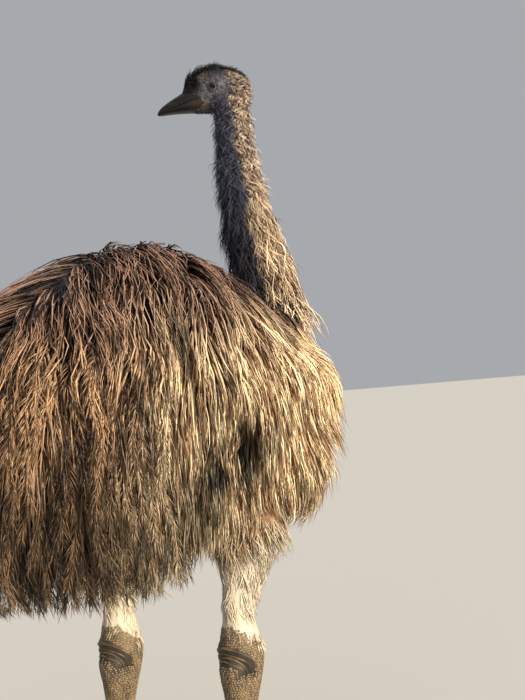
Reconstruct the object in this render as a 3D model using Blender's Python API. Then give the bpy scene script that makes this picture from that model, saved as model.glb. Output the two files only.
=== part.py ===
"""An adult emu, standing still with its head turned back over its left shoulder.

Life size, in metres.  The bird faces -Y, its left side is +X, and it stands on z = 0.  Each solid reaches
out to the tips of the plumage that covers it.  The body is parted where a person names its parts, with a
hairline gap between neighbours.
"""

import math

import bmesh
import bpy
import numpy as np
from mathutils import Matrix, Vector

NAME = "emu"
GAP = 0.0003  # between solids that touch

# Trunk: a dome of hanging plumage round a level long axis.
TRUNK_Y = -0.03  # where the dome is widest and highest
TRUNK_FRONT = 0.44  # from there to the breast
TRUNK_REAR = 0.50  # and to the tips of the tail
TRUNK_HALF_WIDTH = 0.260
BACK_Z = 1.100
WAIST_Z = 0.80  # level of the greatest width
TAIL_TIP_Z = 0.68
HEM_Z = 0.552  # tips of the longest belly feathers
PARTING_DEPTH = 0.010
UPPER_POWER = 2.05  # superellipse of the section above the waist
BREAST_POWER = 2.5  # below it at the breast
RUMP_POWER = 3.7  # and from the thighs back, where the feathers hang straighter
LOCKS = 14  # hanging locks round the hem
LOCK_RELIEF = 0.020
TAIL_CUT_Y = 0.33
WING_PROUD = 0.003

# Neck: stations of x, y, z and half thickness, from inside the breast to inside the skull.
NECK = (
    (0.000, -0.320, 0.850, 0.112),
    (-0.004, -0.362, 0.940, 0.088),
    (-0.004, -0.366, 1.030, 0.068),
    (0.002, -0.340, 1.140, 0.053),
    (0.005, -0.326, 1.236, 0.042),
    (0.005, -0.322, 1.332, 0.0345),
    (0.000, -0.318, 1.405, 0.0330),
)
NECK_CUT_Z = 1.16

# Head: its own frame has its origin in the skull, and runs forward, up and left.
SKULL = Vector((0.007, -0.300, 1.410))
HEAD_TURN = math.radians(127)  # from straight ahead to the bird's left
HEAD_DIP = math.radians(11.5)
EYE_RADIUS = 0.0115
EYE_PLACE = (0.0153, 0.0053, 0.0200)  # forward, up, left
EAR_PLACE = (0.0120, -0.0215, 0.0262)
NOSTRIL_PLACE = (0.0930, 0.0045, 0.0142)
MOUTH_START = (0.0400, -0.0045, 0.0)  # where the mouth line leaves the cheek
MOUTH_FALL = 0.040  # how far it falls towards the tip, per unit forward
BILL_TIP = 0.1325
# Stations of the head and of the bill: forward, lowest, highest and half width.
HEAD = (
    (-0.0560, -0.010, 0.008, 0.006),
    (-0.0480, -0.030, 0.024, 0.019),
    (-0.0280, -0.042, 0.041, 0.0285),
    (-0.0020, -0.044, 0.053, 0.0315),
    (0.0200, -0.040, 0.056, 0.0300),
    (0.0400, -0.034, 0.053, 0.0265),
    (0.0560, -0.029, 0.043, 0.0220),
    (0.0680, -0.023, 0.030, 0.0175),
    (0.0760, -0.015, 0.020, 0.0110),
)
BILL = (
    (0.0400, -0.0270, 0.0260, 0.0240),
    (0.0620, -0.0235, 0.0215, 0.0220),
    (0.0850, -0.0178, 0.0148, 0.0178),
    (0.1080, -0.0130, 0.0080, 0.0128),
    (0.1250, -0.0108, 0.0010, 0.0078),
    (BILL_TIP, -0.0098, -0.0058, 0.0030),
)

# Legs.
HALF_STANCE = 0.112
STAGGER = 0.025  # the right leg stands this far forward, the left as far back
LEG_Y = -0.035
ANKLE_Z = 0.432  # where the feathered shank meets the bare ankle
FOOT_BACK = 0.050  # the foot stands this far behind the ankle
PAD_HALF_WIDTH = 0.030
TOE_SPREAD = math.radians(32)
CLAW_RADIUS = 0.0056

COLOURS = {
    "plumage": ((0.115, 0.068, 0.040), 0.85),
    "head_hair": ((0.070, 0.058, 0.052), 0.85),
    "pale_shank": ((0.62, 0.50, 0.35), 0.85),
    "scaly_skin": ((0.19, 0.145, 0.10), 0.70),
    "bill_horn": ((0.045, 0.037, 0.032), 0.45),
    "claw_horn": ((0.030, 0.026, 0.024), 0.40),
    "eye": ((0.012, 0.008, 0.006), 0.05),
}


# ------------------------------------------------------------------ scene and helpers


def empty_scene():
    for ob in list(bpy.data.objects):
        bpy.data.objects.remove(ob, do_unlink=True)
    folders = []
    for name in (NAME, "cutters"):
        folder = bpy.data.collections.new(name)
        bpy.context.scene.collection.children.link(folder)
        folders.append(folder)
    return folders


def material(name):
    if name in bpy.data.materials:
        return bpy.data.materials[name]
    colour, roughness = COLOURS[name]
    made = bpy.data.materials.new(name)
    made.use_nodes = True
    surface = made.node_tree.nodes["Principled BSDF"]
    surface.inputs["Base Color"].default_value = (*colour, 1.0)
    surface.inputs["Roughness"].default_value = roughness
    surface.inputs["Metallic"].default_value = 0.0
    return made


def loft(rings):
    """One closed body through rings of equal count, with a flat cap on the first and the last.

    It is split into triangles by one rule, so that a body and its grown copy have the same facets.
    """
    count, sides = len(rings), len(rings[0])
    points = np.asarray(rings).reshape(-1, 3)
    faces = [tuple(range(sides)), tuple(range((count - 1) * sides, count * sides))]
    for row in range(count - 1):
        for k in range(sides):
            here, there = row * sides + k, row * sides + (k + 1) % sides
            faces.append((here, there, there + sides, here + sides))
    mesh = bpy.data.meshes.new("loft")
    mesh.from_pydata([tuple(p) for p in points], [], faces)
    work = bmesh.new()
    work.from_mesh(mesh)
    bmesh.ops.recalc_face_normals(work, faces=work.faces)
    bmesh.ops.triangulate(work, faces=work.faces, quad_method="FIXED")
    work.to_mesh(mesh)
    work.free()
    return mesh


def place(name, mesh, colour, folder):
    """A named object for a mesh, shaded smooth, with its own material."""
    ob = bpy.data.objects.new(name, mesh)
    mesh.materials.clear()
    mesh.materials.append(material(colour))
    mesh.shade_smooth()
    mesh.set_sharp_from_angle(angle=math.radians(50))
    folder.objects.link(ob)
    return ob


def hide_cutter(name, mesh, folder):
    ob = bpy.data.objects.new(name, mesh)
    ob.hide_render = True
    ob.display_type = "WIRE"
    folder.objects.link(ob)
    return ob


def carve(ob, cutter):
    cut = ob.modifiers.new(cutter.name, "BOOLEAN")
    cut.operation = "DIFFERENCE"
    cut.object = cutter


def keep_side(mesh, point, normal):
    """The part of a body on the side of a plane that its normal points to, closed by a flat face."""
    work = bmesh.new()
    work.from_mesh(mesh)
    everything = work.verts[:] + work.edges[:] + work.faces[:]
    cut = bmesh.ops.bisect_plane(
        work, geom=everything, plane_co=point, plane_no=normal, clear_inner=True, dist=1e-6
    )
    rim = [e for e in cut["geom_cut"] if isinstance(e, bmesh.types.BMEdge)]
    bmesh.ops.edgeloop_fill(work, edges=rim)
    bmesh.ops.recalc_face_normals(work, faces=work.faces)
    kept = bpy.data.meshes.new("kept")
    work.to_mesh(kept)
    work.free()
    return kept


def spread(stations, count):
    """A few stations turned into many, each value following one smooth curve (Catmull-Rom)."""
    rows = np.asarray(stations, float)
    ends = np.vstack([2 * rows[0] - rows[1], rows, 2 * rows[-1] - rows[-2]])
    s = np.linspace(0, len(rows) - 1, count)
    i = np.minimum(s.astype(int), len(rows) - 2)
    t = (s - i)[:, None]
    a, b, c, d = (ends[i + k] for k in range(4))
    return 0.5 * (2 * b + (c - a) * t + (2 * a - 5 * b + 4 * c - d) * t**2 + (3 * b - a - 3 * c + d) * t**3)


def power_wave(wave, power):
    """A sine or cosine sharpened for a superellipse."""
    return np.sign(wave) * np.abs(wave) ** (2 / power)


def tube(stations, count, sides, grow=0.0, across=Vector((1, 0, 0)), power=2.0):
    """Rings square to a path.  A station is x, y, z, half thickness across, and half thickness along.

    grow makes the same shape that much larger all round, ends included, for a cutter.
    """
    rows = spread(stations, count)
    path = rows[:, :3]
    run = np.gradient(path, axis=0)
    run /= np.linalg.norm(run, axis=1)[:, None]
    front = np.cross(run, np.asarray(across))
    front /= np.linalg.norm(front, axis=1)[:, None]
    side = np.cross(front, run)
    turn = np.linspace(0, 2 * math.pi, sides, endpoint=False)
    wide = power_wave(np.cos(turn), power)
    deep = power_wave(np.sin(turn), power)
    half_side, half_front = rows[:, 3] + grow, rows[:, -1] + grow
    path[0] -= grow * run[0]
    path[-1] += grow * run[-1]
    rings = path[:, None, :] + side[:, None, :] * (half_side[:, None] * wide)[:, :, None]
    return rings + front[:, None, :] * (half_front[:, None] * deep)[:, :, None]


def ball(radius, centre, scale=(1, 1, 1), turn=None, segments=16):
    """A ball or ellipsoid."""
    work = bmesh.new()
    bmesh.ops.create_uvsphere(work, u_segments=segments, v_segments=segments // 2, radius=radius)
    where = Matrix.Translation(centre) @ (turn or Matrix()) @ Matrix.Diagonal((*scale, 1))
    bmesh.ops.transform(work, matrix=where, verts=work.verts)
    mesh = bpy.data.meshes.new("ball")
    work.to_mesh(mesh)
    work.free()
    return mesh


# ------------------------------------------------------------------ trunk and tail


def trunk_measures(t):
    """Half width, rise above the waist, hang below it and waist level, for t from -1, breast, to 1, tail.

    Each falls off towards the two ends as (1 - |t|^a)^b, full at the breast and drawn out behind.
    """
    size, ahead = np.abs(t), t < 0
    width = TRUNK_HALF_WIDTH * np.where(ahead, (1 - size**2.0) ** 0.55, (1 - size**2.1) ** 0.60)
    middle = WAIST_Z + np.where(ahead, 0.0, (TAIL_TIP_Z - WAIST_Z) * size**2.5)
    up = (BACK_Z - middle) * np.where(ahead, (1 - size**1.5) ** 0.64, (1 - size**1.9) ** 0.80)
    down = (middle - HEM_Z) * np.where(ahead, (1 - size**3.2) ** 0.5, (1 - size**4.5) ** 0.5)
    return width, up, down, middle


def trunk_rings(grow=0.0, count=22, sides=36):
    """Superellipse sections across the long axis, highest and widest at TRUNK_Y.

    Below the waist the hem hangs in locks, and a shallow parting runs along the spine.
    """
    t = -np.cos(np.linspace(0.055, math.pi - 0.055, count))
    y = TRUNK_Y + t * (np.where(t < 0, TRUNK_FRONT, TRUNK_REAR) + grow)
    width, up, down, middle = (measure[:, None] for measure in trunk_measures(t))
    turn = np.linspace(0, 2 * math.pi, sides, endpoint=False)[None, :]
    c, s = np.cos(turn), np.sin(turn)
    above = s > 0
    lower_power = np.interp(t, (0.0, 0.35), (BREAST_POWER, RUMP_POWER))[:, None]
    across = np.where(above, power_wave(c, UPPER_POWER), power_wave(c, lower_power))
    height = np.where(above, power_wave(s, UPPER_POWER), power_wave(s, lower_power))
    from_hem = np.abs(turn - 1.5 * math.pi)
    lock = 0.5 + 0.5 * np.cos(LOCKS * from_hem + 9 * t[:, None])
    relief = LOCK_RELIEF * lock * np.clip(0.2 - s, 0, 1) * width / TRUNK_HALF_WIDTH
    parting = PARTING_DEPTH * np.exp(-((c / 0.07) ** 2)) * above
    x = (width + grow - relief) * across
    z = middle + (np.where(above, up - parting, down - relief) + grow) * height
    return np.stack([x, np.broadcast_to(y[:, None], x.shape), z], axis=2)


def flank(y, z):
    """Half width of the trunk at a place above its waist."""
    t = (y - TRUNK_Y) / (TRUNK_FRONT if y < TRUNK_Y else TRUNK_REAR)
    width, up, _, middle = trunk_measures(np.float64(t))
    return float(width * (1 - ((z - middle) / up) ** UPPER_POWER) ** (1 / UPPER_POWER))


def build_trunk_and_tail(parts, cutters):
    whole = loft(trunk_rings())
    front = keep_side(whole, (0, TAIL_CUT_Y - GAP / 2, 0), (0, -1, 0))
    rear = keep_side(whole, (0, TAIL_CUT_Y + GAP / 2, 0), (0, 1, 0))
    trunk = place("trunk", front, "plumage", parts)
    place("tail", rear, "plumage", parts)
    around = hide_cutter("around_trunk", loft(trunk_rings(GAP)), cutters)
    return trunk, around


def wing_mesh(side, grow=0.0):
    """A small folded wing, a flat drop set into the flank, that points back and down."""
    stations = []
    for y, z, thick, deep in (
        (-0.290, 0.900, 0.010, 0.016),
        (-0.240, 0.890, 0.016, 0.030),
        (-0.170, 0.868, 0.015, 0.026),
        (-0.100, 0.842, 0.009, 0.015),
    ):
        stations.append((side * (flank(y, z) - thick + WING_PROUD), y, z, thick, deep))
    return loft(tube(stations, 8, 10, grow))


def build_wings(parts, cutters, trunk):
    for name, side in (("left", 1), ("right", -1)):
        place(f"wing_{name}", wing_mesh(side), "plumage", parts)
        carve(trunk, hide_cutter(f"around_wing_{name}", wing_mesh(side, GAP), cutters))


# ------------------------------------------------------------------ neck and head


def build_neck(parts, cutters, around_trunk, around_head):
    whole = loft(tube(NECK, 18, 18))
    lower = keep_side(whole, (0, 0, NECK_CUT_Z - GAP / 2), (0, 0, -1))
    upper = keep_side(whole, (0, 0, NECK_CUT_Z + GAP / 2), (0, 0, 1))
    carve(place("neck_lower", lower, "plumage", parts), around_trunk)
    carve(place("neck_upper", upper, "head_hair", parts), around_head)


def head_axes():
    forward = Vector(
        (
            math.sin(HEAD_TURN) * math.cos(HEAD_DIP),
            -math.cos(HEAD_TURN) * math.cos(HEAD_DIP),
            -math.sin(HEAD_DIP),
        )
    )
    left = Vector((0, 0, 1)).cross(forward).normalized()
    return forward, forward.cross(left), left


def in_head(place_in_head):
    """A point given forward, up and left of the skull, in the world."""
    return SKULL + sum((axis * value for axis, value in zip(head_axes(), place_in_head)), Vector())


def head_section(stations, count, sides, grow=0.0, power=2.2):
    """Rings square to the head's axis.  A station is forward, lowest, highest and half width."""
    forward, up, left = (np.asarray(axis) for axis in head_axes())
    rows = spread(stations, count)
    turn = np.linspace(0, 2 * math.pi, sides, endpoint=False)
    middle = (rows[:, 2] + rows[:, 1]) / 2
    half_height = (rows[:, 2] - rows[:, 1]) / 2 + grow
    height = middle[:, None] + half_height[:, None] * power_wave(np.sin(turn), power)[None, :]
    width = (rows[:, 3] + grow)[:, None] * power_wave(np.cos(turn), power)[None, :]
    rows[[0, -1], 0] += (-grow, grow)
    rings = np.asarray(SKULL) + rows[:, 0, None, None] * forward
    return rings + height[:, :, None] * up + width[:, :, None] * left


def carve_pit(ob, cutters, name, where, scale, radius=0.004):
    """A shallow oval pit, such as an ear opening or a nostril.  Its scale is forward, left and up."""
    forward, up, left = head_axes()
    turn = Matrix((forward, left, up)).transposed().to_4x4()
    pit = ball(radius, in_head(where), scale, turn, 8)
    carve(ob, hide_cutter(name, pit, cutters))


def build_head(parts, cutters):
    head = place("head", loft(head_section(HEAD, 18, 20)), "head_hair", parts)
    around_head = hide_cutter("around_head", loft(head_section(HEAD, 18, 20, GAP)), cutters)
    for side_name, side in (("left", 1), ("right", -1)):
        forward, up, out = EYE_PLACE
        centre = in_head((forward, up, side * out))
        place(f"eye_{side_name}", ball(EYE_RADIUS, centre), "eye", parts)
        socket = hide_cutter(f"socket_{side_name}", ball(EYE_RADIUS + GAP, centre), cutters)
        carve(head, socket)
        ear = (EAR_PLACE[0], EAR_PLACE[1], side * EAR_PLACE[2])
        carve_pit(head, cutters, f"ear_pit_{side_name}", ear, (1.0, 0.9, 1.3))
    whole = loft(head_section(BILL, 11, 14, 0.0, 2.0))
    forward, up, _ = head_axes()
    square = (up + MOUTH_FALL * forward).normalized()
    for name, way in (("bill_upper", 1), ("bill_lower", -1)):
        lips = in_head(MOUTH_START) + square * way * GAP / 2
        bill = place(name, keep_side(whole, lips, way * square), "bill_horn", parts)
        carve(bill, around_head)
        if name == "bill_upper":
            for side_name, side in (("left", 1), ("right", -1)):
                nostril = (NOSTRIL_PLACE[0], NOSTRIL_PLACE[1], side * NOSTRIL_PLACE[2])
                carve_pit(bill, cutters, f"nostril_pit_{side_name}", nostril, (2.4, 1.0, 0.6), 0.0025)
    return around_head


# ------------------------------------------------------------------ legs


def shank_rings(side, y, grow=0.0):
    """The feathered shank, from the thick flesh by the knee, forward and up, down to the ankle."""
    stations = (
        (side * (HALF_STANCE + 0.018), y - 0.085, 0.700, 0.058, 0.085),
        (side * (HALF_STANCE + 0.014), y - 0.062, 0.640, 0.055, 0.080),
        (side * (HALF_STANCE + 0.007), y - 0.035, 0.580, 0.046, 0.062),
        (side * (HALF_STANCE + 0.002), y - 0.012, 0.520, 0.036, 0.045),
        (side * HALF_STANCE, y, 0.470, 0.0320, 0.0345),
        (side * HALF_STANCE, y, 0.410, 0.0330, 0.0360),
    )
    return tube(stations, 11, 16, grow)


def tarsus_rings(side, y, grow=0.0):
    """The bare lower leg: a broad ankle, a slim shaft, and the pad that the toes grow from."""
    x, back = side * HALF_STANCE, y + FOOT_BACK
    stations = (
        (x, y, 0.460, 0.0310, 0.0340),
        (x, y + 0.002, 0.412, 0.0365, 0.0410),
        (x, y + 0.006, 0.376, 0.0320, 0.0370),
        (x, y + 0.012, 0.330, 0.0235, 0.0275),
        (x, y + 0.022, 0.250, 0.0185, 0.0225),
        (x, y + 0.035, 0.150, 0.0185, 0.0220),
        (x, y + 0.044, 0.080, 0.0225, 0.0245),
        (x, back, 0.036, 0.0290, 0.0300),
        (x, back + 0.001, 0.010, PAD_HALF_WIDTH, 0.0330),
        (x, back + 0.001, -0.006, 0.0240, 0.0270),
    )
    return tube(stations, 19, 14, grow)


def toe_stations(root, heading, length, half_width, height):
    """A toe along the ground from its root: three swellings, the pads, and a lower tip."""
    along = np.linspace(0, 1, 10)
    pads = 1 + 0.09 * np.cos(2 * math.pi * 3 * along)
    slim = 1 - 0.34 * along**1.4
    half_w = half_width * slim * pads
    half_h = height / 2 * (1 - 0.42 * along) * pads
    half_w[-1], half_h[-1] = half_w[-1] * 0.55, half_h[-1] * 0.6
    path = np.asarray(root) + np.outer(along * length, heading)
    path[:, 2] = half_h * 0.86
    return np.column_stack([path, half_w, half_h])


def claw_stations(tip, heading, length):
    """A blunt claw that leaves the toe level and bends down to just above the ground."""
    along = np.linspace(0, 1, 5)
    path = np.asarray(tip) + np.outer(along * length, heading)
    half = CLAW_RADIUS * (1 - 0.78 * along**1.3)
    path[:, 2] = 0.0045 * (1 - along**1.8) + half + 0.0008
    return np.column_stack([path, half * 0.85, half])


def build_foot(side_name, side, y, around_tarsus, parts, cutters):
    """Three toes that fan out from the pad, the middle one longest, each with its claw."""
    centre = np.array((side * HALF_STANCE, y + FOOT_BACK, 0.0))
    toes = (
        ("inner", -side, 0.078, 0.0125, 0.026),
        ("middle", 0, 0.128, 0.0150, 0.030),
        ("outer", side, 0.088, 0.0125, 0.026),
    )
    for toe_name, fan, length, half_width, height in toes:
        angle = fan * TOE_SPREAD
        heading = np.array((math.sin(angle), -math.cos(angle), 0.0))
        root = centre + np.array((fan * 0.016, -0.010, 0.0))
        across = Vector((heading[1], -heading[0], 0.0))
        toe_mesh = loft(tube(toe_stations(root, heading, length, half_width, height), 11, 8, 0.0, across))
        flat = keep_side(toe_mesh, (0, 0, 0), (0, 0, 1))
        toe = place(f"toe_{toe_name}_{side_name}", flat, "scaly_skin", parts)
        carve(toe, around_tarsus)
        tip = root + heading * (length - 0.006)
        claw_length = 0.020 + 0.08 * length
        claw_mesh = loft(tube(claw_stations(tip, heading, claw_length), 6, 8, 0.0, across))
        claw = place(f"claw_{toe_name}_{side_name}", claw_mesh, "claw_horn", parts)
        grown = loft(tube(toe_stations(root, heading, length, half_width, height), 11, 8, GAP, across))
        carve(claw, hide_cutter(f"around_toe_{toe_name}_{side_name}", grown, cutters))


def build_legs(parts, cutters, trunk):
    for side_name, side in (("left", 1), ("right", -1)):
        y = LEG_Y + side * STAGGER
        shank = keep_side(loft(shank_rings(side, y)), (0, 0, ANKLE_Z + GAP / 2), (0, 0, 1))
        place(f"shank_{side_name}", shank, "pale_shank", parts)
        carve(trunk, hide_cutter(f"around_shank_{side_name}", loft(shank_rings(side, y, GAP)), cutters))
        tarsus = keep_side(loft(tarsus_rings(side, y)), (0, 0, ANKLE_Z - GAP / 2), (0, 0, -1))
        tarsus = keep_side(tarsus, (0, 0, 0), (0, 0, 1))
        place(f"tarsus_{side_name}", tarsus, "scaly_skin", parts)
        around = hide_cutter(f"around_tarsus_{side_name}", loft(tarsus_rings(side, y, GAP)), cutters)
        build_foot(side_name, side, y, around, parts, cutters)


def build():
    parts, cutters = empty_scene()
    trunk, around_trunk = build_trunk_and_tail(parts, cutters)
    build_wings(parts, cutters, trunk)
    around_head = build_head(parts, cutters)
    build_neck(parts, cutters, around_trunk, around_head)
    build_legs(parts, cutters, trunk)


build()
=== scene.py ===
"""The looks of a life-size standing emu: skin, eyes, bill, claws, scales and the whole coat of feathers.

Metres.  The bird faces -Y, its left side is +X, and it stands on z = 0.
"""

import math

import bmesh
import bpy
import numpy as np
from bpy.props import FloatProperty, FloatVectorProperty, IntProperty, PointerProperty
from mathutils import Matrix, Vector
from mathutils.bvhtree import BVHTree


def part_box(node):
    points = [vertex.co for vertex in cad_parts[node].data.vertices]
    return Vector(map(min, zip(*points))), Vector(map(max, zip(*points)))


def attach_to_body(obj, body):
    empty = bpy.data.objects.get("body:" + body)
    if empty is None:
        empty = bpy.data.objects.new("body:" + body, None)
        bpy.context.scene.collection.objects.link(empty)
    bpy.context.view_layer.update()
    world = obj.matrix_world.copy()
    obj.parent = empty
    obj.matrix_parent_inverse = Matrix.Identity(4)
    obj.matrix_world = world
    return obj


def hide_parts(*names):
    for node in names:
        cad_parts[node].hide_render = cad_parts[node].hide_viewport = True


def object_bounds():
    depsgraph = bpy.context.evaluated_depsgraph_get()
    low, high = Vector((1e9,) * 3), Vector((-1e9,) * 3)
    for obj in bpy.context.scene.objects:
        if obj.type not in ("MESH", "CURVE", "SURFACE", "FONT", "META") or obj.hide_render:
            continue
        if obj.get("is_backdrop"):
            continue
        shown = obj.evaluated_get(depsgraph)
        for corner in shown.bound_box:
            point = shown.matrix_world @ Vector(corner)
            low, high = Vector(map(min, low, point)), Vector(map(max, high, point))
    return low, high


bl_info = {
    "name": "Standing Emu",
    "version": (1, 0, 0),
    "blender": (4, 5, 0),
    "location": "3D View > Sidebar > Emu",
    "description": "Skin, bill, eyes, claws and feathers of a life-size standing emu",
    "category": "Add Mesh",
}

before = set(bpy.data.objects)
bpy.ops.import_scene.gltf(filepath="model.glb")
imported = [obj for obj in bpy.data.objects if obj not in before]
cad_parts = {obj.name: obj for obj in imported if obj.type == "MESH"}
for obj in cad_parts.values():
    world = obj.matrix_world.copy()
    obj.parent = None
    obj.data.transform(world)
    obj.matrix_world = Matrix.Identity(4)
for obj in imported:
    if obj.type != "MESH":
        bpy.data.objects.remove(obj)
CAD_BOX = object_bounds()


# ------------------------------------------------------------------ sizes taken from the frame


def corners(*nodes):
    """Lowest and highest corner of several CAD nodes taken together."""
    boxes = [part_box(node) for node in nodes]
    lowest = np.min([box[0] for box in boxes], axis=0)
    highest = np.max([box[1] for box in boxes], axis=0)
    return lowest, highest


def leg_place(side_name):
    """x and y of a leg's ankle, from the box of the bare leg below it."""
    low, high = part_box(f"tarsus_{side_name}")
    return np.array(((low[0] + high[0]) / 2, high[1] - PAD_HALF_LENGTH - FOOT_BACK))


SIDES = (("left", 1), ("right", -1))
TOES = (("inner", -1), ("middle", 0), ("outer", 1))
BODY_LOW, BODY_HIGH = corners("trunk", "tail", "wing_left", "wing_right")
HEM_Z = BODY_LOW[2]  # tips of the longest belly feathers
BACK_Z = BODY_HIGH[2]
TRUNK_Y = -0.03  # where the dome of plumage is widest and highest
TRUNK_FRONT = TRUNK_Y - BODY_LOW[1]
TRUNK_REAR = BODY_HIGH[1] - TRUNK_Y
HALF_WIDTH = BODY_HIGH[0]
WAIST_Z = 0.80  # level of the greatest width
TAIL_TIP_Z = 0.68
UPPER_POWER = 2.05  # superellipse of the dome's section above the waist
BREAST_POWER = 2.5  # below it at the breast
RUMP_POWER = 3.7  # and from the thighs back
BODY_CENTRE = np.array((0.0, TRUNK_Y, WAIST_Z))

ANKLE_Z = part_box("shank_left")[0][2]
EYES = {name: np.mean(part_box(f"eye_{name}"), axis=0) for name, _ in SIDES}
EYE_RADIUS = (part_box("eye_left")[1][2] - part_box("eye_left")[0][2]) / 2
FOOT_BACK = 0.051  # the foot's pad stands this far behind the ankle
PAD_HALF_LENGTH = 0.033
LEGS = {name: leg_place(name) for name, _ in SIDES}

HEAD_TURN = math.radians(127)  # from straight ahead to the bird's left
HEAD_DIP = math.radians(11.5)
FORWARD = np.array((
    math.sin(HEAD_TURN) * math.cos(HEAD_DIP),
    -math.cos(HEAD_TURN) * math.cos(HEAD_DIP),
    -math.sin(HEAD_DIP),
))
LEFT = np.cross((0, 0, 1), FORWARD) / math.cos(HEAD_DIP)
UP = np.cross(FORWARD, LEFT)
EYE_FORWARD, EYE_UP = 0.0153, 0.0053  # of the eyes' centres from the skull's own centre
SKULL = (EYES["left"] + EYES["right"]) / 2 - FORWARD * EYE_FORWARD - UP * EYE_UP
EAR = (0.0120, -0.0215, 0.0262)  # forward, up and left of the skull
NOSTRIL = (0.0930, 0.0045, 0.0142)
MOUTH_UP = -0.0045
MOUTH_FALL = 0.040  # the mouth line falls this much towards the tip, per unit forward

# The neck's centre line: height, x and y, from the breast up to the skull.
NECK_LINE = np.array((
    (0.850, 0.000, -0.320),
    (0.940, -0.004, -0.362),
    (1.030, -0.004, -0.366),
    (1.140, 0.002, -0.340),
    (1.236, 0.005, -0.326),
    (1.332, 0.005, -0.322),
    (1.405, 0.000, -0.318),
))


# ------------------------------------------------------------------ small helpers


def unit(vectors):
    """The same directions at length one."""
    return vectors / np.maximum(np.linalg.norm(vectors, axis=-1, keepdims=True), 1e-12)


def lengths(vectors):
    """Each vector's length."""
    return np.linalg.norm(vectors, axis=-1)


def bell(value):
    """1 at nought, falling off to 0 on either side as exp(-value^2)."""
    return np.exp(-(value**2))


def full_turn(count):
    """Angles in equal steps once round, without the last, which would be the first again."""
    return np.linspace(0, 2 * math.pi, count, endpoint=False)


def ease(low, high, value):
    """0 below low, 1 above high, and a smooth step between."""
    share = np.clip((value - low) / (high - low), 0, 1)
    return share * share * (3 - 2 * share)


def mix(first, second, share):
    """first where share is 0 and second where it is 1."""
    return first + (second - first) * share


def in_head(points):
    """World points as forward, up and left of the skull."""
    return (np.asarray(points) - SKULL) @ np.stack([FORWARD, UP, LEFT], axis=1)


def from_head(places):
    """Forward, up and left of the skull as world points."""
    return SKULL + np.asarray(places) @ np.stack([FORWARD, UP, LEFT])


def both_sides(place):
    """World points, one for each side's name, of a place given as forward, up and left of the skull."""
    forward, up, left = place
    return {name: from_head((forward, up, left * side)) for name, side in SIDES}


def read_off(profile, places):
    """Values from a profile of (place, value) pairs, on straight lines between them."""
    return np.interp(places, *zip(*profile))


def fewer(count):
    return count


def neck_centre(heights):
    """The neck's centre line at each height."""
    x = np.interp(heights, NECK_LINE[:, 0], NECK_LINE[:, 1])
    y = np.interp(heights, NECK_LINE[:, 0], NECK_LINE[:, 2])
    return np.stack([x, y, heights], axis=-1)


# ------------------------------------------------------------------ the outline of the plumage


def dome_level(points):
    """How near each point is to the dome's outline in its own cross section: 1 on it, less inside.

    The sections are superellipses, |x / width|^p + |(z - middle) / height|^p, whose width and heights
    shrink to nothing at the breast and at the tail.
    """
    along = points[..., 1] - TRUNK_Y
    front = along < 0
    size = np.abs(along) / np.where(front, TRUNK_FRONT, TRUNK_REAR)
    size = np.minimum(size, 0.99999)
    width = HALF_WIDTH * np.where(front, (1 - size**2) ** 0.55, (1 - size**2.1) ** 0.60)
    middle = WAIST_Z + np.where(front, 0, (TAIL_TIP_Z - WAIST_Z) * size**2.5)
    up = (BACK_Z - middle) * np.where(front, (1 - size**1.5) ** 0.64, (1 - size**1.9) ** 0.80)
    down = (middle - HEM_Z) * np.where(front, (1 - size**3.2) ** 0.5, (1 - size**4.5) ** 0.5)
    rise = points[..., 2] - middle
    lower_power = np.interp(along / TRUNK_REAR, (0.0, 0.35), (BREAST_POWER, RUMP_POWER))
    power = np.where(rise > 0, UPPER_POWER, lower_power)
    height = np.where(rise > 0, up, down)
    return np.abs(points[..., 0] / width) ** power + np.abs(rise / height) ** power


def reach(directions):
    """How far the dome's outline lies from its centre in each direction, found by halving."""
    near = np.zeros(directions.shape[:-1])
    far = np.full(directions.shape[:-1], 0.7)
    for _ in range(17):
        middle = (near + far) / 2
        points = BODY_CENTRE + directions * middle[..., None]
        along = points[..., 1] - TRUNK_Y
        outside = (dome_level(points) > 1) | (along < -TRUNK_FRONT) | (along > TRUNK_REAR)
        far = np.where(outside, middle, far)
        near = np.where(outside, near, middle)
    return near


def level(points):
    """A point's distance from the dome's centre as a share of the outline's in the same direction."""
    away = points - BODY_CENTRE
    distance = lengths(away)
    return distance / reach(away / distance[..., None])


def outward(points, step=0.004):
    """The direction straight out of the dome at each point, from differences of the level."""
    here = level(points)
    slopes = [level(points + np.eye(3)[axis] * step) - here for axis in range(3)]
    return unit(np.stack(slopes, axis=-1))


def to_level(points, wanted):
    """The points moved along lines from the dome's centre to the wanted level."""
    return BODY_CENTRE + (points - BODY_CENTRE) * (wanted / level(points))[..., None]


SETTLE_LIFT = (  # along y, from the shoulders back
    (-0.41, -0.008), (-0.34, -0.034), (-0.26, -0.052), (-0.18, -0.044), (-0.10, -0.022), (-0.04, -0.006),
    (0.02, 0.007), (0.07, 0.013), (0.12, 0.009), (0.20, -0.004), (0.28, -0.009),
)
BREAST_SWELL = (  # up z
    (0.50, 0.016), (0.58, 0.032), (0.63, 0.042), (0.67, 0.038), (0.71, 0.022), (0.76, 0.0),
)
SHOULDER_Y = -0.18  # the neck's feathers reach no further back


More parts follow.
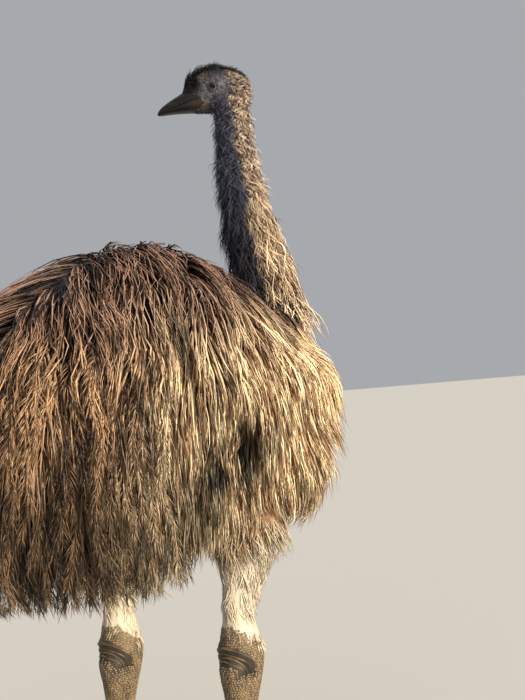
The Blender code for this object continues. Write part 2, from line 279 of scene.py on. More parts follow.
def settle_shift(points):
    """How far skin and coat are moved off the even dome to sit as they do on the bird.

    Behind the middle of the back loose plumes stand high, and the shoulders before it lie low, on a profile
    read along y; the lower breast swells outwards on a profile read up z.  The neck stays where it is.
    """
    x, y, z = (points[..., axis] for axis in range(3))
    off_neck = ease(0.07, 0.12, lengths((points - neck_centre(z))[..., :2]))
    lift = read_off(SETTLE_LIFT, y) * ease(0.81, 0.97, z) * ease(1.15, 1.02, z)
    lift = lift * np.maximum(off_neck, y > SHOULDER_Y)
    swell = read_off(BREAST_SWELL, z) * ease(-0.10, -0.25, y)
    out = np.stack([x, y - TRUNK_Y, np.zeros_like(x)], axis=-1)
    return unit(out) * swell[..., None] + np.stack([0 * x, 0 * x, lift], axis=-1)


def unsettled(points):
    """Where settled points were before, by repeated substitution."""
    before = points
    for _ in range(5):
        before = points - settle_shift(before)
    return before


# Ragged openings in the right flank: the middle of each, and its size across, inwards and up.
HOLLOWS = (
    (np.array((-0.251, 0.047, 0.712)), np.array((0.030, 0.085, 0.068))),
    (np.array((-0.243, 0.103, 0.699)), np.array((0.032, 0.060, 0.038))),
)
HOLLOW_WAYS = np.array(((0.799, 0.602, 0.0), (0.602, -0.799, 0.0), (0.0, 0.0, 1.0)))  # across, inwards, up
HOLLOW_DEPTH = 0.055
SHADE_BELOW_HOLLOW = (-0.24, 0.085, 0.650)  # the middle of the painted shade on the locks under the openings


def hollow(points, wide=1.0):
    """1 in the middle of either opening, falling off to 0 round it on an ellipsoid."""
    falls = []
    for middle, size in HOLLOWS:
        away = (points - middle) @ HOLLOW_WAYS.T / (size * wide)
        falls.append(np.exp(-((away**2).sum(axis=-1) ** 1.5)))
    return np.maximum(*falls)


# ------------------------------------------------------------------ meshes


def new_object(name, data):
    """A new object in the scene, at the origin and unturned."""
    made = bpy.data.objects.new(name, data)
    bpy.context.scene.collection.objects.link(made)
    return made


def add_piece(name, points, faces, material):
    """A new object riding on the body, from arrays of points and of faces with equal corners."""
    mesh = bpy.data.meshes.new(name)
    corners_each = faces.shape[1]
    mesh.vertices.add(len(points))
    mesh.vertices.foreach_set("co", np.ascontiguousarray(points, np.float32).ravel())
    mesh.loops.add(faces.size)
    mesh.loops.foreach_set("vertex_index", np.ascontiguousarray(faces, np.int32).ravel())
    mesh.polygons.add(len(faces))
    mesh.polygons.foreach_set("loop_start", np.arange(0, faces.size, corners_each, dtype=np.int32))
    mesh.polygons.foreach_set("use_smooth", np.full(len(faces), True))
    mesh.update(calc_edges=True)
    mesh.materials.append(material)
    piece = new_object(name, mesh)
    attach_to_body(piece, "root")
    return piece


def add_values(piece, name, values):
    """A number for each vertex, which the materials read by its name."""
    attribute = piece.data.attributes.new(name, "FLOAT", "POINT")
    attribute.data.foreach_set("value", np.ascontiguousarray(values, np.float32).ravel())


def add_unwrap(piece, name, places):
    """A UV map from one pair of numbers for each corner of each face."""
    layer = piece.data.uv_layers.new(name=name)
    layer.data.foreach_set("uv", np.ascontiguousarray(places, np.float32).ravel())


def face_normals(points, faces):
    """Normals as long as twice the faces' areas, from their diagonals."""
    corner = points[faces]
    last = corner[:, 3] if faces.shape[1] == 4 else corner[:, 0]
    return np.cross(corner[:, 2] - corner[:, 0], last - corner[:, 1])


def vertex_normals(points, faces):
    """Unit normals of the vertices, each the sum of those of the faces round it."""
    flat = face_normals(points, faces)
    total = np.zeros_like(points)
    for column in range(faces.shape[1]):
        for axis in range(3):
            total[:, axis] += np.bincount(faces[:, column], flat[:, axis], len(points))
    return unit(total)


def neighbour_mean(points, edges):
    """The mean of each vertex's neighbours."""
    count = np.bincount(edges.ravel(), minlength=len(points))
    total = np.empty_like(points)
    for axis in range(3):
        total[:, axis] = np.bincount(edges[:, 0], points[edges[:, 1], axis], len(points))
        total[:, axis] += np.bincount(edges[:, 1], points[edges[:, 0], axis], len(points))
    return total / count[:, None]


def read_mesh(mesh):
    """A mesh's points, edges and triangles as arrays."""
    points = np.empty(len(mesh.vertices) * 3)
    mesh.vertices.foreach_get("co", points)
    edges = np.empty(len(mesh.edges) * 2, np.int32)
    mesh.edges.foreach_get("vertices", edges)
    mesh.calc_loop_triangles()
    triangles = np.empty(len(mesh.loop_triangles) * 3, np.int32)
    mesh.loop_triangles.foreach_get("vertices", triangles)
    return points.reshape(-1, 3), edges.reshape(-1, 2), triangles.reshape(-1, 3)


def write_points(mesh, points):
    """Moves a mesh's vertices."""
    mesh.vertices.foreach_set("co", np.ascontiguousarray(points, np.float32).ravel())
    mesh.update()


def skin_faces(skin):
    """The skin's points and triangles, with the triangles' centres and unit normals."""
    points, _, triangles = read_mesh(skin.data)
    return points, triangles, points[triangles].mean(axis=1), unit(face_normals(points, triangles))


# ------------------------------------------------------------------ materials


class Wire:
    """A socket of a node tree that takes part in sums; each operator adds one Math node."""

    def __init__(self, tree, socket=None):
        self.tree = tree
        self.socket = socket

    def node(self, kind, settings=None, values=None, out=0):
        """Adds a node, makes its settings, then fills its sockets with values or links."""
        made = self.tree.nodes.new(kind)
        for name, value in (settings or {}).items():
            if name == "stops":
                fill_ramp(made.color_ramp, value)
            else:
                setattr(made, name, value)
        for name, value in (values or {}).items():
            if isinstance(value, Wire):
                self.tree.links.new(value.socket, made.inputs[name])
            else:
                made.inputs[name].default_value = value
        return Wire(self.tree, made.outputs[out])

    def maths(self, operation, first, second):
        """One Math node on two numbers or wires."""
        return self.node("ShaderNodeMath", {"operation": operation}, {0: first, 1: second})

    def __add__(self, other):
        return self.maths("ADD", self, other)

    def __radd__(self, other):
        return self.maths("ADD", other, self)

    def __sub__(self, other):
        return self.maths("SUBTRACT", self, other)

    def __rsub__(self, other):
        return self.maths("SUBTRACT", other, self)

    def __mul__(self, other):
        return self.maths("MULTIPLY", self, other)

    def __rmul__(self, other):
        return self.maths("MULTIPLY", other, self)

    def __pow__(self, other):
        return self.maths("POWER", self, other)

    def step(self, low, high, start=0.0, end=1.0):
        """start below low and end above high, with a smooth step between."""
        settings = {"interpolation_type": "SMOOTHSTEP"}
        values = {"Value": self, "From Min": low, "From Max": high, "To Min": start, "To Max": end}
        return self.node("ShaderNodeMapRange", settings, values)

    def blend(self, first, second):
        """Two colours mixed by this number: the first at 0 and the second at 1."""
        return self.node("ShaderNodeMix", {"data_type": "RGBA"}, {0: self, 6: first, 7: second}, 2)

    def shaded(self, grey):
        """This colour times a grey."""
        greys = self.node("ShaderNodeCombineColor", None, {0: grey, 1: grey, 2: grey})
        settings = {"data_type": "RGBA", "blend_type": "MULTIPLY"}
        return self.node("ShaderNodeMix", settings, {0: 1.0, 6: self, 7: greys}, 2)

    def part(self, index):
        """One of the three numbers of a vector."""
        return self.node("ShaderNodeSeparateXYZ", None, {0: self}, index)

    def noise(self, scale, detail=2.0, roughness=0.5):
        """Cloudy noise from 0 to 1 at this position."""
        values = {"Vector": self, "Scale": scale, "Detail": detail, "Roughness": roughness}
        return self.node("ShaderNodeTexNoise", None, values)

    def stretched(self, scale):
        """This vector with each of its axes scaled."""
        return self.node("ShaderNodeMapping", None, {"Vector": self, "Scale": scale})

    def distance(self, place):
        """How far this position is from a fixed one."""
        return self.node("ShaderNodeVectorMath", {"operation": "DISTANCE"}, {0: self, 1: place}, 1)

    def along(self, direction):
        """This vector measured along a fixed direction."""
        return self.node("ShaderNodeVectorMath", {"operation": "DOT_PRODUCT"}, {0: self, 1: direction}, 1)


def fill_ramp(ramp, stops):
    """Sets a colour ramp's stops from pairs of a place and a colour."""
    while len(ramp.elements) < len(stops):
        ramp.elements.new(0.5)
    for element, (place, colour) in zip(ramp.elements, stops):
        element.position = place
        element.color = colour


def linear(red, green, blue):
    """A display colour of 0 to 255 as linear light, with full alpha."""
    parts = [value / 255 for value in (red, green, blue)]
    return tuple(p / 12.92 if p <= 0.04045 else ((p + 0.055) / 1.055) ** 2.4 for p in parts) + (1.0,)


def new_material(name):
    """A material with a Principled surface; gives the material, a wire of its tree and the surface."""
    material = bpy.data.materials.new(name)
    material.use_nodes = True
    return material, Wire(material.node_tree), material.node_tree.nodes["Principled BSDF"]


def toned(colour, factor):
    """A colour's red, green and blue times a factor, or times three, with full alpha."""
    return tuple(np.array(colour[:3]) * factor) + (1.0,)


def attach(surface, socket, wire):
    """Links a wire to one of the surface's sockets."""
    wire.tree.links.new(wire.socket, surface.inputs[socket])


def attribute(wire, name):
    """A number that the mesh holds for each vertex."""
    return wire.node("ShaderNodeAttribute", {"attribute_name": name}, None, 2)


def position(wire):
    """The place on the object, in its own metres."""
    return wire.node("ShaderNodeTexCoord", None, None, 3)


def bump(height, strength, distance):
    """A normal tilted by a height that varies over the surface."""
    return height.node("ShaderNodeBump", None, {"Height": height, "Strength": strength, "Distance": distance})


# ------------------------------------------------------------------ skin

BASE_VOXEL = 0.0096
FINE_VOXEL = 0.0018
FLESH = [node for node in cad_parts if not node.startswith(("bill", "claw", "eye"))]
EYE_NODES = ["eye_left", "eye_right"]
LEG_NODES = [node for node in FLESH if node.startswith(("shank", "tarsus", "toe"))]
LID_RISE = 0.0011  # of the lids over the eyeball
OPENING = (0.0064, 0.0053)  # half length and half height of the eye's opening
OPENING_POWER = 1.85  # under 2 draws the corners out to points
OPENING_TILT = math.radians(38)  # the opening's front corner stands this far below its hind one
HEEL_Z = 0.388  # of the knob behind the ankle


def fused(nodes, voxel):
    """One closed surface of even squares round copies of CAD nodes, without the hairlines between them."""
    work = bmesh.new()
    for node in nodes:
        work.from_mesh(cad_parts[node].data)
    bmesh.ops.remove_doubles(work, verts=work.verts, dist=1e-6)
    mesh = bpy.data.meshes.new("fused")
    work.to_mesh(mesh)
    work.free()
    holder = new_object("fused", mesh)
    remesh = holder.modifiers.new("remesh", "REMESH")
    remesh.mode = "VOXEL"
    remesh.voxel_size = voxel
    return applied(holder)


def applied(holder):
    """The mesh of a passing object with its modifiers applied; the object goes."""
    graph = bpy.context.evaluated_depsgraph_get()
    mesh = bpy.data.meshes.new_from_object(holder.evaluated_get(graph))
    bpy.data.objects.remove(holder)
    return mesh


def refine(mesh, zone):
    """Halves every edge whose two ends lie in a zone, given as a test of points."""
    points, _, _ = read_mesh(mesh)
    chosen = zone(points)
    work = bmesh.new()
    work.from_mesh(mesh)
    edges = [edge for edge in work.edges if chosen[edge.verts[0].index] and chosen[edge.verts[1].index]]
    bmesh.ops.subdivide_edges(work, edges=edges, cuts=1, use_grid_fill=True)
    work.to_mesh(mesh)
    work.free()


def wrap(mesh, target, share):
    """Draws each vertex by its share of the way onto the nearest place of a finer surface."""
    holder = new_object("wrapped", mesh)
    goal = new_object("goal", target)
    cling = holder.modifiers.new("cling", "SHRINKWRAP")
    cling.target = goal
    wrapped, _, _ = read_mesh(applied(holder))
    bpy.data.objects.remove(goal)
    points, _, _ = read_mesh(mesh)
    write_points(mesh, mix(points, wrapped, share[:, None]))


def leg_zone(points):
    """The legs up to where they enter the plumage, as a test of points."""
    heights = points[:, 2]
    near = np.min([np.abs(points[:, 0] - LEGS[name][0]) for name, _ in SIDES], axis=0)
    thigh = (heights < 0.60) & (near < 0.06) & (np.abs(points[:, 1] + 0.06) < 0.10)
    return (heights < 0.54) | thigh


def neck_zone(points):
    """Neck and head, as a test of points."""
    away = points[:, :2] - neck_centre(points[:, 2])[:, :2]
    return (points[:, 2] > 0.96) & (lengths(away) < 0.12)


NECK_COAT = ((0.95, 0.040), (1.05, 0.026), (1.15, 0.017), (1.25, 0.011), (1.35, 0.007))  # depth up z


def coat_depth(points, normals):
    """How far the skin lies inside the CAD outline: the coat's depth at each place.

    On the trunk it grows from the spine down to the belly and back to the tail; it thins up the neck to
    the crown, is a hair's breadth on the face, and is almost nothing below the ankle.
    """
    lowness = ease(0.80, -0.55, normals[:, 2])
    trunk = mix(0.026, 0.098, lowness) + 0.050 * ease(0.12, 0.46, points[:, 1])
    trunk -= 0.012 * ease(-0.20, -0.42, points[:, 1])
    heights = points[:, 2]
    neck = read_off(NECK_COAT, heights)
    head = in_head(points)
    crown = ease(0.010, 0.045, head[:, 1]) * ease(0.075, 0.045, head[:, 0])
    nape = ease(0.006, -0.030, head[:, 0])
    skull = 0.0010 + 0.0055 * np.maximum(crown, nape)
    skull = np.where(head[:, 0] > 0.055, 0.0008, skull)
    depth = mix(trunk, neck, ease(0.95, 1.06, heights))
    depth = mix(depth, skull, ease(1.345, 1.385, heights))
    leg = mix(0.0006, 0.0085, ease(ANKLE_Z - 0.004, ANKLE_Z + 0.050, heights))
    return mix(depth, leg, on_shank(points))


def lid_angle(turn):
    """Angle from the eye's axis to the edge of its opening, on an almond outline."""
    share = (np.abs(np.cos(turn)) / OPENING[0]) ** OPENING_POWER
    share += (np.abs(np.sin(turn)) / OPENING[1]) ** OPENING_POWER
    return np.arcsin(share ** (-1 / OPENING_POWER) / EYE_RADIUS)


def eye_axes(side):
    """Out of the eye, forward across it and up it."""
    out = unit(LEFT * side + FORWARD * 0.16 + UP * 0.04)
    level_across = unit(FORWARD - out * (FORWARD @ out))
    upright = np.cross(out, level_across) * side
    across = level_across * math.cos(OPENING_TILT) - upright * math.sin(OPENING_TILT)
    return out, across, np.cross(out, across) * side


def open_socket(points, side_name, side):
    """Sinks the skin behind the eyeball inside the lids' edge, and eases it out again beyond."""
    out, across, up = eye_axes(side)
    away = points - EYES[side_name]
    distance = lengths(away)
    direction = away / distance[:, None]
    tilt = np.arccos(np.clip(direction @ out, -1, 1))
    ring = tilt / lid_angle(np.arctan2(direction @ up, direction @ across))
    sunk = np.minimum(distance, EYE_RADIUS - 0.0016)
    near = ease(1.75, 1.35, ring) * (distance < EYE_RADIUS * 1.6)
    return EYES[side_name] + direction * mix(distance, sunk, near)[:, None]


def open_ear(points, normals, side_name):
    """A round hole with a low rim, behind and below the eye."""
    away = lengths(points - both_sides(EAR)[side_name])
    hole = -0.0042 * bell(away / 0.0034)
    rim = 0.0008 * bell((away - 0.0056) / 0.0014)
    return points + normals * (hole + rim)[:, None]


# The leg's centre line up z: how far behind the ankle and how far out of it.
LEG_BACK = (
    (0.03, 0.050), (0.15, 0.035), (0.25, 0.022), (0.33, 0.012), (0.40, 0.0), (0.47, 0.0),
    (0.52, -0.012), (0.58, -0.035), (0.64, -0.062), (0.70, -0.085),
)
LEG_OUT = ((0.47, 0.0), (0.58, 0.007), (0.70, 0.018))
# Half width and half depth of the feathered shank up z.
SHANK_WIDE = ((0.47, 0.034), (0.52, 0.038), (0.58, 0.048), (0.64, 0.057))
SHANK_DEEP = ((0.47, 0.037), (0.52, 0.047), (0.58, 0.064), (0.64, 0.082))


def leg_line(heights, side_name):
    """x and y of the leg's centre line: it slopes back from the ankle to the pad, and forward to the knee."""
    x, y = LEGS[side_name]
    out = read_off(LEG_OUT, heights) * np.sign(x)
    return np.stack([x + out, y + read_off(LEG_BACK, heights)], axis=-1)


def around_leg(points, side_name):
    """A point's angle round its leg, 0 at the heel behind, and its distance from the leg's line."""
    away = points[:, :2] - leg_line(points[:, 2], side_name)
    return np.arctan2(away[:, 0], away[:, 1]), lengths(away)


def on_shank(points):
    """1 on the legs up to where they enter the plumage, 0 off them, on ellipses that widen to the thigh."""
    heights = points[:, 2]
    wide, deep = read_off(SHANK_WIDE, heights), read_off(SHANK_DEEP, heights)
    share = np.zeros(len(points))
    for name, _ in SIDES:
        away = points[:, :2] - leg_line(heights, name)
        share = np.maximum(share, ease(1.32, 1.12, np.hypot(away[:, 0] / wide, away[:, 1] / deep)))
    return np.maximum(share * ease(0.66, 0.62, heights), ease(0.545, 0.535, heights))


def fold_ankle(points, normals, side_name, side):
    """A knob at the heel under an arched channel for the folds, and a hollow each side of the tendon."""
    chosen = (points[:, 0] * side > 0) & (points[:, 2] < 0.50)
    turn, _ = around_leg(points, side_name)
    heel = np.hypot(turn * 0.036, points[:, 2] - HEEL_Z)
    beside = bell((np.abs(turn) - 1.10) / 0.28) * ease(0.29, 0.34, points[:, 2])
    beside *= ease(HEEL_Z + 0.016, HEEL_Z - 0.012, points[:, 2])
    knob = bell(heel / 0.017)
    arch = bell((heel - 0.030) / 0.009) * (points[:, 2] > HEEL_Z - 0.01)
    shift = 0.0032 * knob - 0.0064 * beside - 0.0034 * arch
    return points + normals * (shift * chosen)[:, None]


def lid_shells():
    """Eyelids: closed rings of skin round each opening, rolled at the edge and buried at the outer side.

    Across the ring the profile runs out along the eyeball's surface and back beneath; round the ring it
    follows the almond opening.  Gives points and four-cornered faces.
    """
    turns, profile = 72, 14
    turn = np.linspace(0, 2 * math.pi, turns, endpoint=False)[:, None]
    loop = np.linspace(0, 2 * math.pi, profile, endpoint=False)[None, :]
    out_share = (1 - np.cos(loop)) / 2
    ring = 1 + 0.62 * out_share
    thickness = np.sin(loop) * 0.00072 * (1 - 0.35 * out_share)
    wrinkles = 0.0004 * np.sin(out_share * math.pi * 3) * (thickness > 0)
    rise = mix(LID_RISE * 0.5, -0.0002, out_share**2) + thickness + wrinkles
    points, faces = [], []
    for side_name, side in SIDES:
        out, across, up = eye_axes(side)
        tilt = (lid_angle(turn) * ring)[..., None]
        swing = (np.cos(turn) * np.ones_like(loop))[..., None] * across
        swing = swing + (np.sin(turn) * np.ones_like(loop))[..., None] * up
        direction = np.cos(tilt) * out + np.sin(tilt) * swing
        points.append((EYES[side_name] + direction * (EYE_RADIUS + rise)[..., None]).reshape(-1, 3))
        faces.append(torus_faces(turns, profile, flipped=side > 0) + len(faces) * turns * profile)
    return np.concatenate(points), np.concatenate(faces)


def torus_faces(rows, columns, flipped=False):
    """Four-cornered faces of a grid that closes on itself both ways."""
    row, column = np.meshgrid(np.arange(rows), np.arange(columns), indexing="ij")
    here, right = row * columns + column, row * columns + (column + 1) % columns
    below, across = (row + 1) % rows * columns + column, (row + 1) % rows * columns + (column + 1) % columns
    faces = np.stack([here, right, across, below], axis=-1).reshape(-1, 4)
    return faces[:, ::-1] if flipped else faces


SINK_STEPS = 10  # in which the skin moves in by the coat's depth
EVEN_LEVEL = 0.97  # of the flesh over the trunk, before it sinks


def wrapped_flesh():
    """The flesh's solids fused, made finer towards head and feet, and drawn there onto finer copies."""
    mesh = fused(FLESH + EYE_NODES, BASE_VOXEL)
    refine(mesh, lambda p: leg_zone(p) | neck_zone(p))
    refine(mesh, lambda p: (p[:, 2] > 1.325) | ((p[:, 2] > 0.33) & (p[:, 2] < 0.475)) | (p[:, 2] < 0.055))
    refine(mesh, lambda p: (in_head(p)[:, 0] > -0.018) & (p[:, 2] > 1.345))
    head_target = fused(["neck_lower", "neck_upper", "head"] + EYE_NODES, FINE_VOXEL)
    leg_target = fused(LEG_NODES, FINE_VOXEL * 1.3)
    points, _, _ = read_mesh(mesh)
    wrap(mesh, head_target, neck_zone(points) * ease(1.03, 1.07, points[:, 2]))
    wrap(mesh, leg_target, ease(0.52, 0.49, points[:, 2]))
    return mesh


def under_dome(points):
    """1 where the skin follows the dome of plumage, and 0 on legs and neck."""
    heights = points[:, 2]
    trunk = (1 - on_shank(points)) * ease(1.12, 1.08, heights)
    return trunk * (1 - ease(0.93, 1.0, heights) * ease(-0.24, -0.30, points[:, 1]))


def dome_normals(points, triangles, domed, share):
    """Unit normals of the vertices, turned on the trunk by their share to face straight out of the dome."""
    normals = vertex_normals(points, triangles)
    normals[domed] = unit(mix(normals[domed], outward(points[domed]), share))
    return normals


def no_higher(points, domed, share, most):
    """Brings those points of the trunk that stand above a level down to it, by their share."""
    lowered = to_level(points[domed], np.minimum(level(points[domed]), most))
    points[domed] = mix(points[domed], lowered, share)


def sunk_by_coat(points, edges, triangles):
    """The flesh's surface moved in along its normals by the coat's depth, in steps smoothed between."""
    bare = np.maximum(ease(1.05, 1.15, points[:, 2]), ease(0.52, 0.45, points[:, 2]))
    loose = (1 - bare)[:, None]
    for _ in range(3):
        points = mix(points, neighbour_mean(points, edges), 0.5)
    trunk = under_dome(points)
    domed = np.flatnonzero(trunk > 0)
    share = trunk[domed, None]
    no_higher(points, domed, share, EVEN_LEVEL)
    normals = dome_normals(points, triangles, domed, share)
    depth = coat_depth(points, normals)
    for _ in range(SINK_STEPS):
        points = points - normals * (depth / SINK_STEPS)[:, None]
        for _ in range(2):
            points = mix(points, neighbour_mean(points, edges), 0.5 * loose)
        normals = dome_normals(points, triangles, domed, share)
    no_higher(points, domed, share, 1 - 0.85 * depth[domed] / reach(unit(points[domed] - BODY_CENTRE)))
    return points


def make_skin_mesh():
    """The flesh sunk by the coat's depth, opened at hollows, ears and eyes, and settled with the plumage."""
    mesh = wrapped_flesh()
    points, edges, triangles = read_mesh(mesh)
    points = sunk_by_coat(points, edges, triangles)
    normals = vertex_normals(points, triangles)
    points[:, 0] += HOLLOW_DEPTH * hollow(points, 1.35)
    for side_name, side in SIDES:
        points = open_ear(points, normals, side_name)
        points = fold_ankle(points, normals, side_name, side)
        points = open_socket(points, side_name, side)
    points = points + settle_shift(points) * (1 - on_shank(points))[:, None]
    points[:, 2] = np.maximum(points[:, 2], 0.0)
    write_points(mesh, points)
    return mesh


def make_skin():
    """One closed skin with the lids in it, which stands for all the CAD nodes of flesh."""
    mesh = make_skin_mesh()
    lids, lid_faces = lid_shells()
    work = bmesh.new()
    work.from_mesh(mesh)
    lid_mesh = bpy.data.meshes.new("lids")
    lid_mesh.from_pydata(lids, [], lid_faces.tolist())
    work.from_mesh(lid_mesh)
    bmesh.ops.triangulate(work, faces=work.faces)
    skin_mesh = bpy.data.meshes.new("skin")
    work.to_mesh(skin_mesh)
    work.free()
    skin_mesh.shade_smooth()
    skin_mesh.materials.clear()
    skin_mesh.materials.append(skin_material())
    skin = new_object("skin", skin_mesh)
    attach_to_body(skin, "root")
    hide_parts(*FLESH)
    return skin


# ------------------------------------------------------------------ markings shared by skin and coat


MATTED = 0.4  # the place along a feather whose colour the skin under the coat takes


def face_colour(place, mottle):
    """Bare blue-grey skin in soft patches, darker where it is mottled."""
    colours = bpy.context.scene.emu_colours
    face = place.noise(28.0, 2.0).step(0.35, 0.65).blend(tuple(colours.face), tuple(colours.face_shade))
    return (mottle.step(0.3, 0.7) * 0.55).blend(face, toned(colours.face_shade, 0.5))


def under_coat_shade_colour(place, mottle):
    """The skin under the feathers of trunk and neck, in the coat's markings at their darkest, as painted
    shade.
    """
    colours = bpy.context.scene.emu_colours
    neck = ramp(mottle * 0.5, colours.neck_dark, colours.neck_light)
    neck = dark_throat_and_shade(place).blend(neck, throat_and_shade_colour(mottle))
    # painted shade in the flank's openings
    opening = near_hollow(place).step(1.1, 1.9, 0.04, 0.55)
    coat = feather_colour(place, mottle * 0.35, MATTED).shaded(opening)
    return place.part(2).step(1.0, 1.06).blend(coat, neck)


def bare_leg_colour(place, mottle):
    """The skin between the legs' scales: browner than they in its pits, with painted shade in the heel's
    creases.
    """
    leg = (0.35 * mottle.step(0.75, 0.35)).blend(leg_colour(place), linear(58, 46, 36))
    # painted shade in the heel's creases
    return (heel_crease_shade(place) * 0.85).blend(leg, linear(32, 24, 17))


def skin_material():
    """The coat's markings on the skin under it as painted shade, blue-grey on the bare face and horny brown
    on the legs.
    """
    material, wire, surface = new_material("skin")
    place = position(wire)
    height = place.part(2)
    mottle = place.noise(160.0, 4.0, 0.6)
    colour = height.step(1.24, 1.34).blend(under_coat_shade_colour(place, mottle), face_colour(place, mottle))
    colour = height.step(0.64, 0.68).blend(shank_colour(place, mottle * 0.5), colour)
    ragged = (place.noise(75.0, 2.0) - 0.5) * 0.05
    behind = place.part(1) - place.part(0).step(-0.01, 0.01, float(LEGS["right"][1]), float(LEGS["left"][1]))
    feathered = (height + ragged - behind * 0.5).step(ANKLE_Z + 0.002, ANKLE_Z + 0.014)
    colour = feathered.blend(bare_leg_colour(place, mottle), colour)
    crown = crown_share(place) * height.step(1.36, 1.39)
    colour = crown.blend(colour, tuple(bpy.context.scene.emu_colours.crown_dark))
    # painted shade inside each ear hole
    for ear in both_sides(EAR).values():
        colour = place.distance(tuple(ear)).step(0.0030, 0.0052).blend(linear(20, 16, 16), colour)
    # painted shade in the crease where the lids meet each eyeball
    for eye in EYES.values():
        rim = place.distance(tuple(eye)).step(0.0116, 0.0100) * 0.45
        colour = rim.blend(colour, linear(44, 41, 44))
    attach(surface, "Base Color", colour)
    surface.inputs["Roughness"].default_value = 0.62
    wrinkles = place.stretched((1.0, 1.0, 2.2)).noise(420.0, 3.0, 0.6)
    attach(surface, "Normal", bump(wrinkles, 0.45, 0.0008))
    return material


def ramp(light, dark, bright):
    """Colours from near black through the dark one to the bright one, for a number from 0 to 1."""
    dark, bright = np.array(dark[:3]), np.array(bright[:3])
    stops = ((0.0, dark * 0.30), (0.26, dark), (0.60, mix(dark, bright, 0.50)), (1.0, bright))
    stops = tuple((place, (*colour, 1.0)) for place, colour in stops)
    return light.node("ShaderNodeValToRGB", {"stops": stops}, {0: light})


def feather_colour(place, tone, along):
    """The plumage's colours: near black with red-brown lights on the back, golden tan on flank and breast.

    The tone, a number for each strand, picks its place between the dark and the bleached colour of its
    region; regions follow the height on the body and how far forward a place is.  On the flank, painted light
    brightens the front and painted shade darkens the rear and the lower part; painted shade darkens the low
    rump.
    """
    colours = bpy.context.scene.emu_colours
    height = place.part(2)
    back = place.part(1)
    wander = (place.noise(9.0, 2.0) - 0.5) * 0.22
    lowness = (height + wander).step(1.02, 0.84)
    rump = (back + wander).step(0.08, 0.30)
    # each strand darker towards its root, as painted shade
    light = (tone + (along - 0.5) * 0.30).step(0.10, 0.98)
    top = ramp(light, colours.back_dark, colours.back_light)
    flank = ramp(light, colours.flank_dark, colours.flank_light)
    # painted light towards the front of the flank, painted shade towards its rear and low down
    low = (height + wander * 0.5).step(0.56, 0.70, 0.72, 1.0)
    flank = flank.shaded((back + wander).step(0.08, -0.16, 0.80, 1.28) * low)
    # painted shade low on the rump
    deep = (height + wander).step(0.62, 0.86) * 0.72 + 0.28
    tail = ramp(light, colours.rump_dark, colours.rump_light).shaded(deep)
    return lowness.blend(top, rump.blend(flank, tail))


def near_hollow(place):
    """How far a place is from the nearer opening in the flank, in units of the opening's size."""
    nearest = None
    for middle, size in HOLLOWS:
        shares = [(place.along(tuple(way)) - float(way @ middle)) * (1 / far)
                  for way, far in zip(HOLLOW_WAYS, size * (1.0, 1.5, 1.0))]
        away = (shares[0] * shares[0] + shares[1] * shares[1] + shares[2] * shares[2]) ** 0.5
        nearest = away if nearest is None else nearest.maths("MINIMUM", nearest, away)
    return nearest + (place.stretched((1.0, 1.0, 0.12)).noise(130.0, 3.0, 0.6) - 0.5)


def plumage_material():
    """Feather strands: the body's markings, with painted shade at the hidden root and fine barbs along each
    strand.
    """
    material, wire, surface = new_material("plumage")
    place = position(wire)
    tone, along = attribute(wire, "tone"), attribute(wire, "along")
    colour = feather_colour(place, tone, along)
    # painted shade towards each strand's root, and a little painted light past its own colour at the tip
    root = along.step(0.0, 0.70, 0.42, 1.08)
    barbs = place.stretched((1.0, 1.0, 0.12)).noise(900.0, 2.0, 0.6)
    # painted shade inside the flank's openings and, softer, on the locks below them
    opening = near_hollow(place).step(0.85, 1.15, 0.07, 1.0)
    opening = opening * place.distance(SHADE_BELOW_HOLLOW).step(0.05, 0.11, 0.38, 1.0)
    # painted shade in long vertical seams, standing for deep gaps between locks
    seams = place.stretched((1.0, 1.0, 0.10)).noise(36.0, 2.0).step(0.36, 0.47, 0.42, 1.0)
    shade = root * barbs.step(0.25, 0.75, 0.68, 1.15) * opening * seams
    attach(surface, "Base Color", colour.shaded(shade))
    surface.inputs["Roughness"].default_value = 0.50
    surface.inputs["Specular IOR Level"].default_value = 0.35
    attach(surface, "Normal", bump(barbs, 0.35, 0.0006))
    return material


def eye_material():
    """A dark brown iris with a black pupil and rim, under a wet cornea."""
    material, wire, surface = new_material("eye")
    place = position(wire)
    nearest = None
    for name, side in SIDES:
        out, _, _ = eye_axes(side)
        away = place.distance(tuple(EYES[name] + out * EYE_RADIUS))
        nearest = away if nearest is None else nearest.maths("MINIMUM", nearest, away)
    rays = place.noise(900.0, 3.0).step(0.3, 0.7)
    iris = rays.blend(linear(12, 8, 6), linear(30, 18, 12))
    colour = nearest.step(0.0030, 0.0034).blend(linear(3, 3, 3), iris)
    colour = nearest.step(0.0048, 0.0056).blend(colour, linear(12, 10, 10))
    attach(surface, "Base Color", colour)
    surface.inputs["Roughness"].default_value = 0.06
    surface.inputs["Specular IOR Level"].default_value = 0.18
    surface.inputs["Coat Weight"].default_value = 0.12
    surface.inputs["Coat Roughness"].default_value = 0.02
    return material


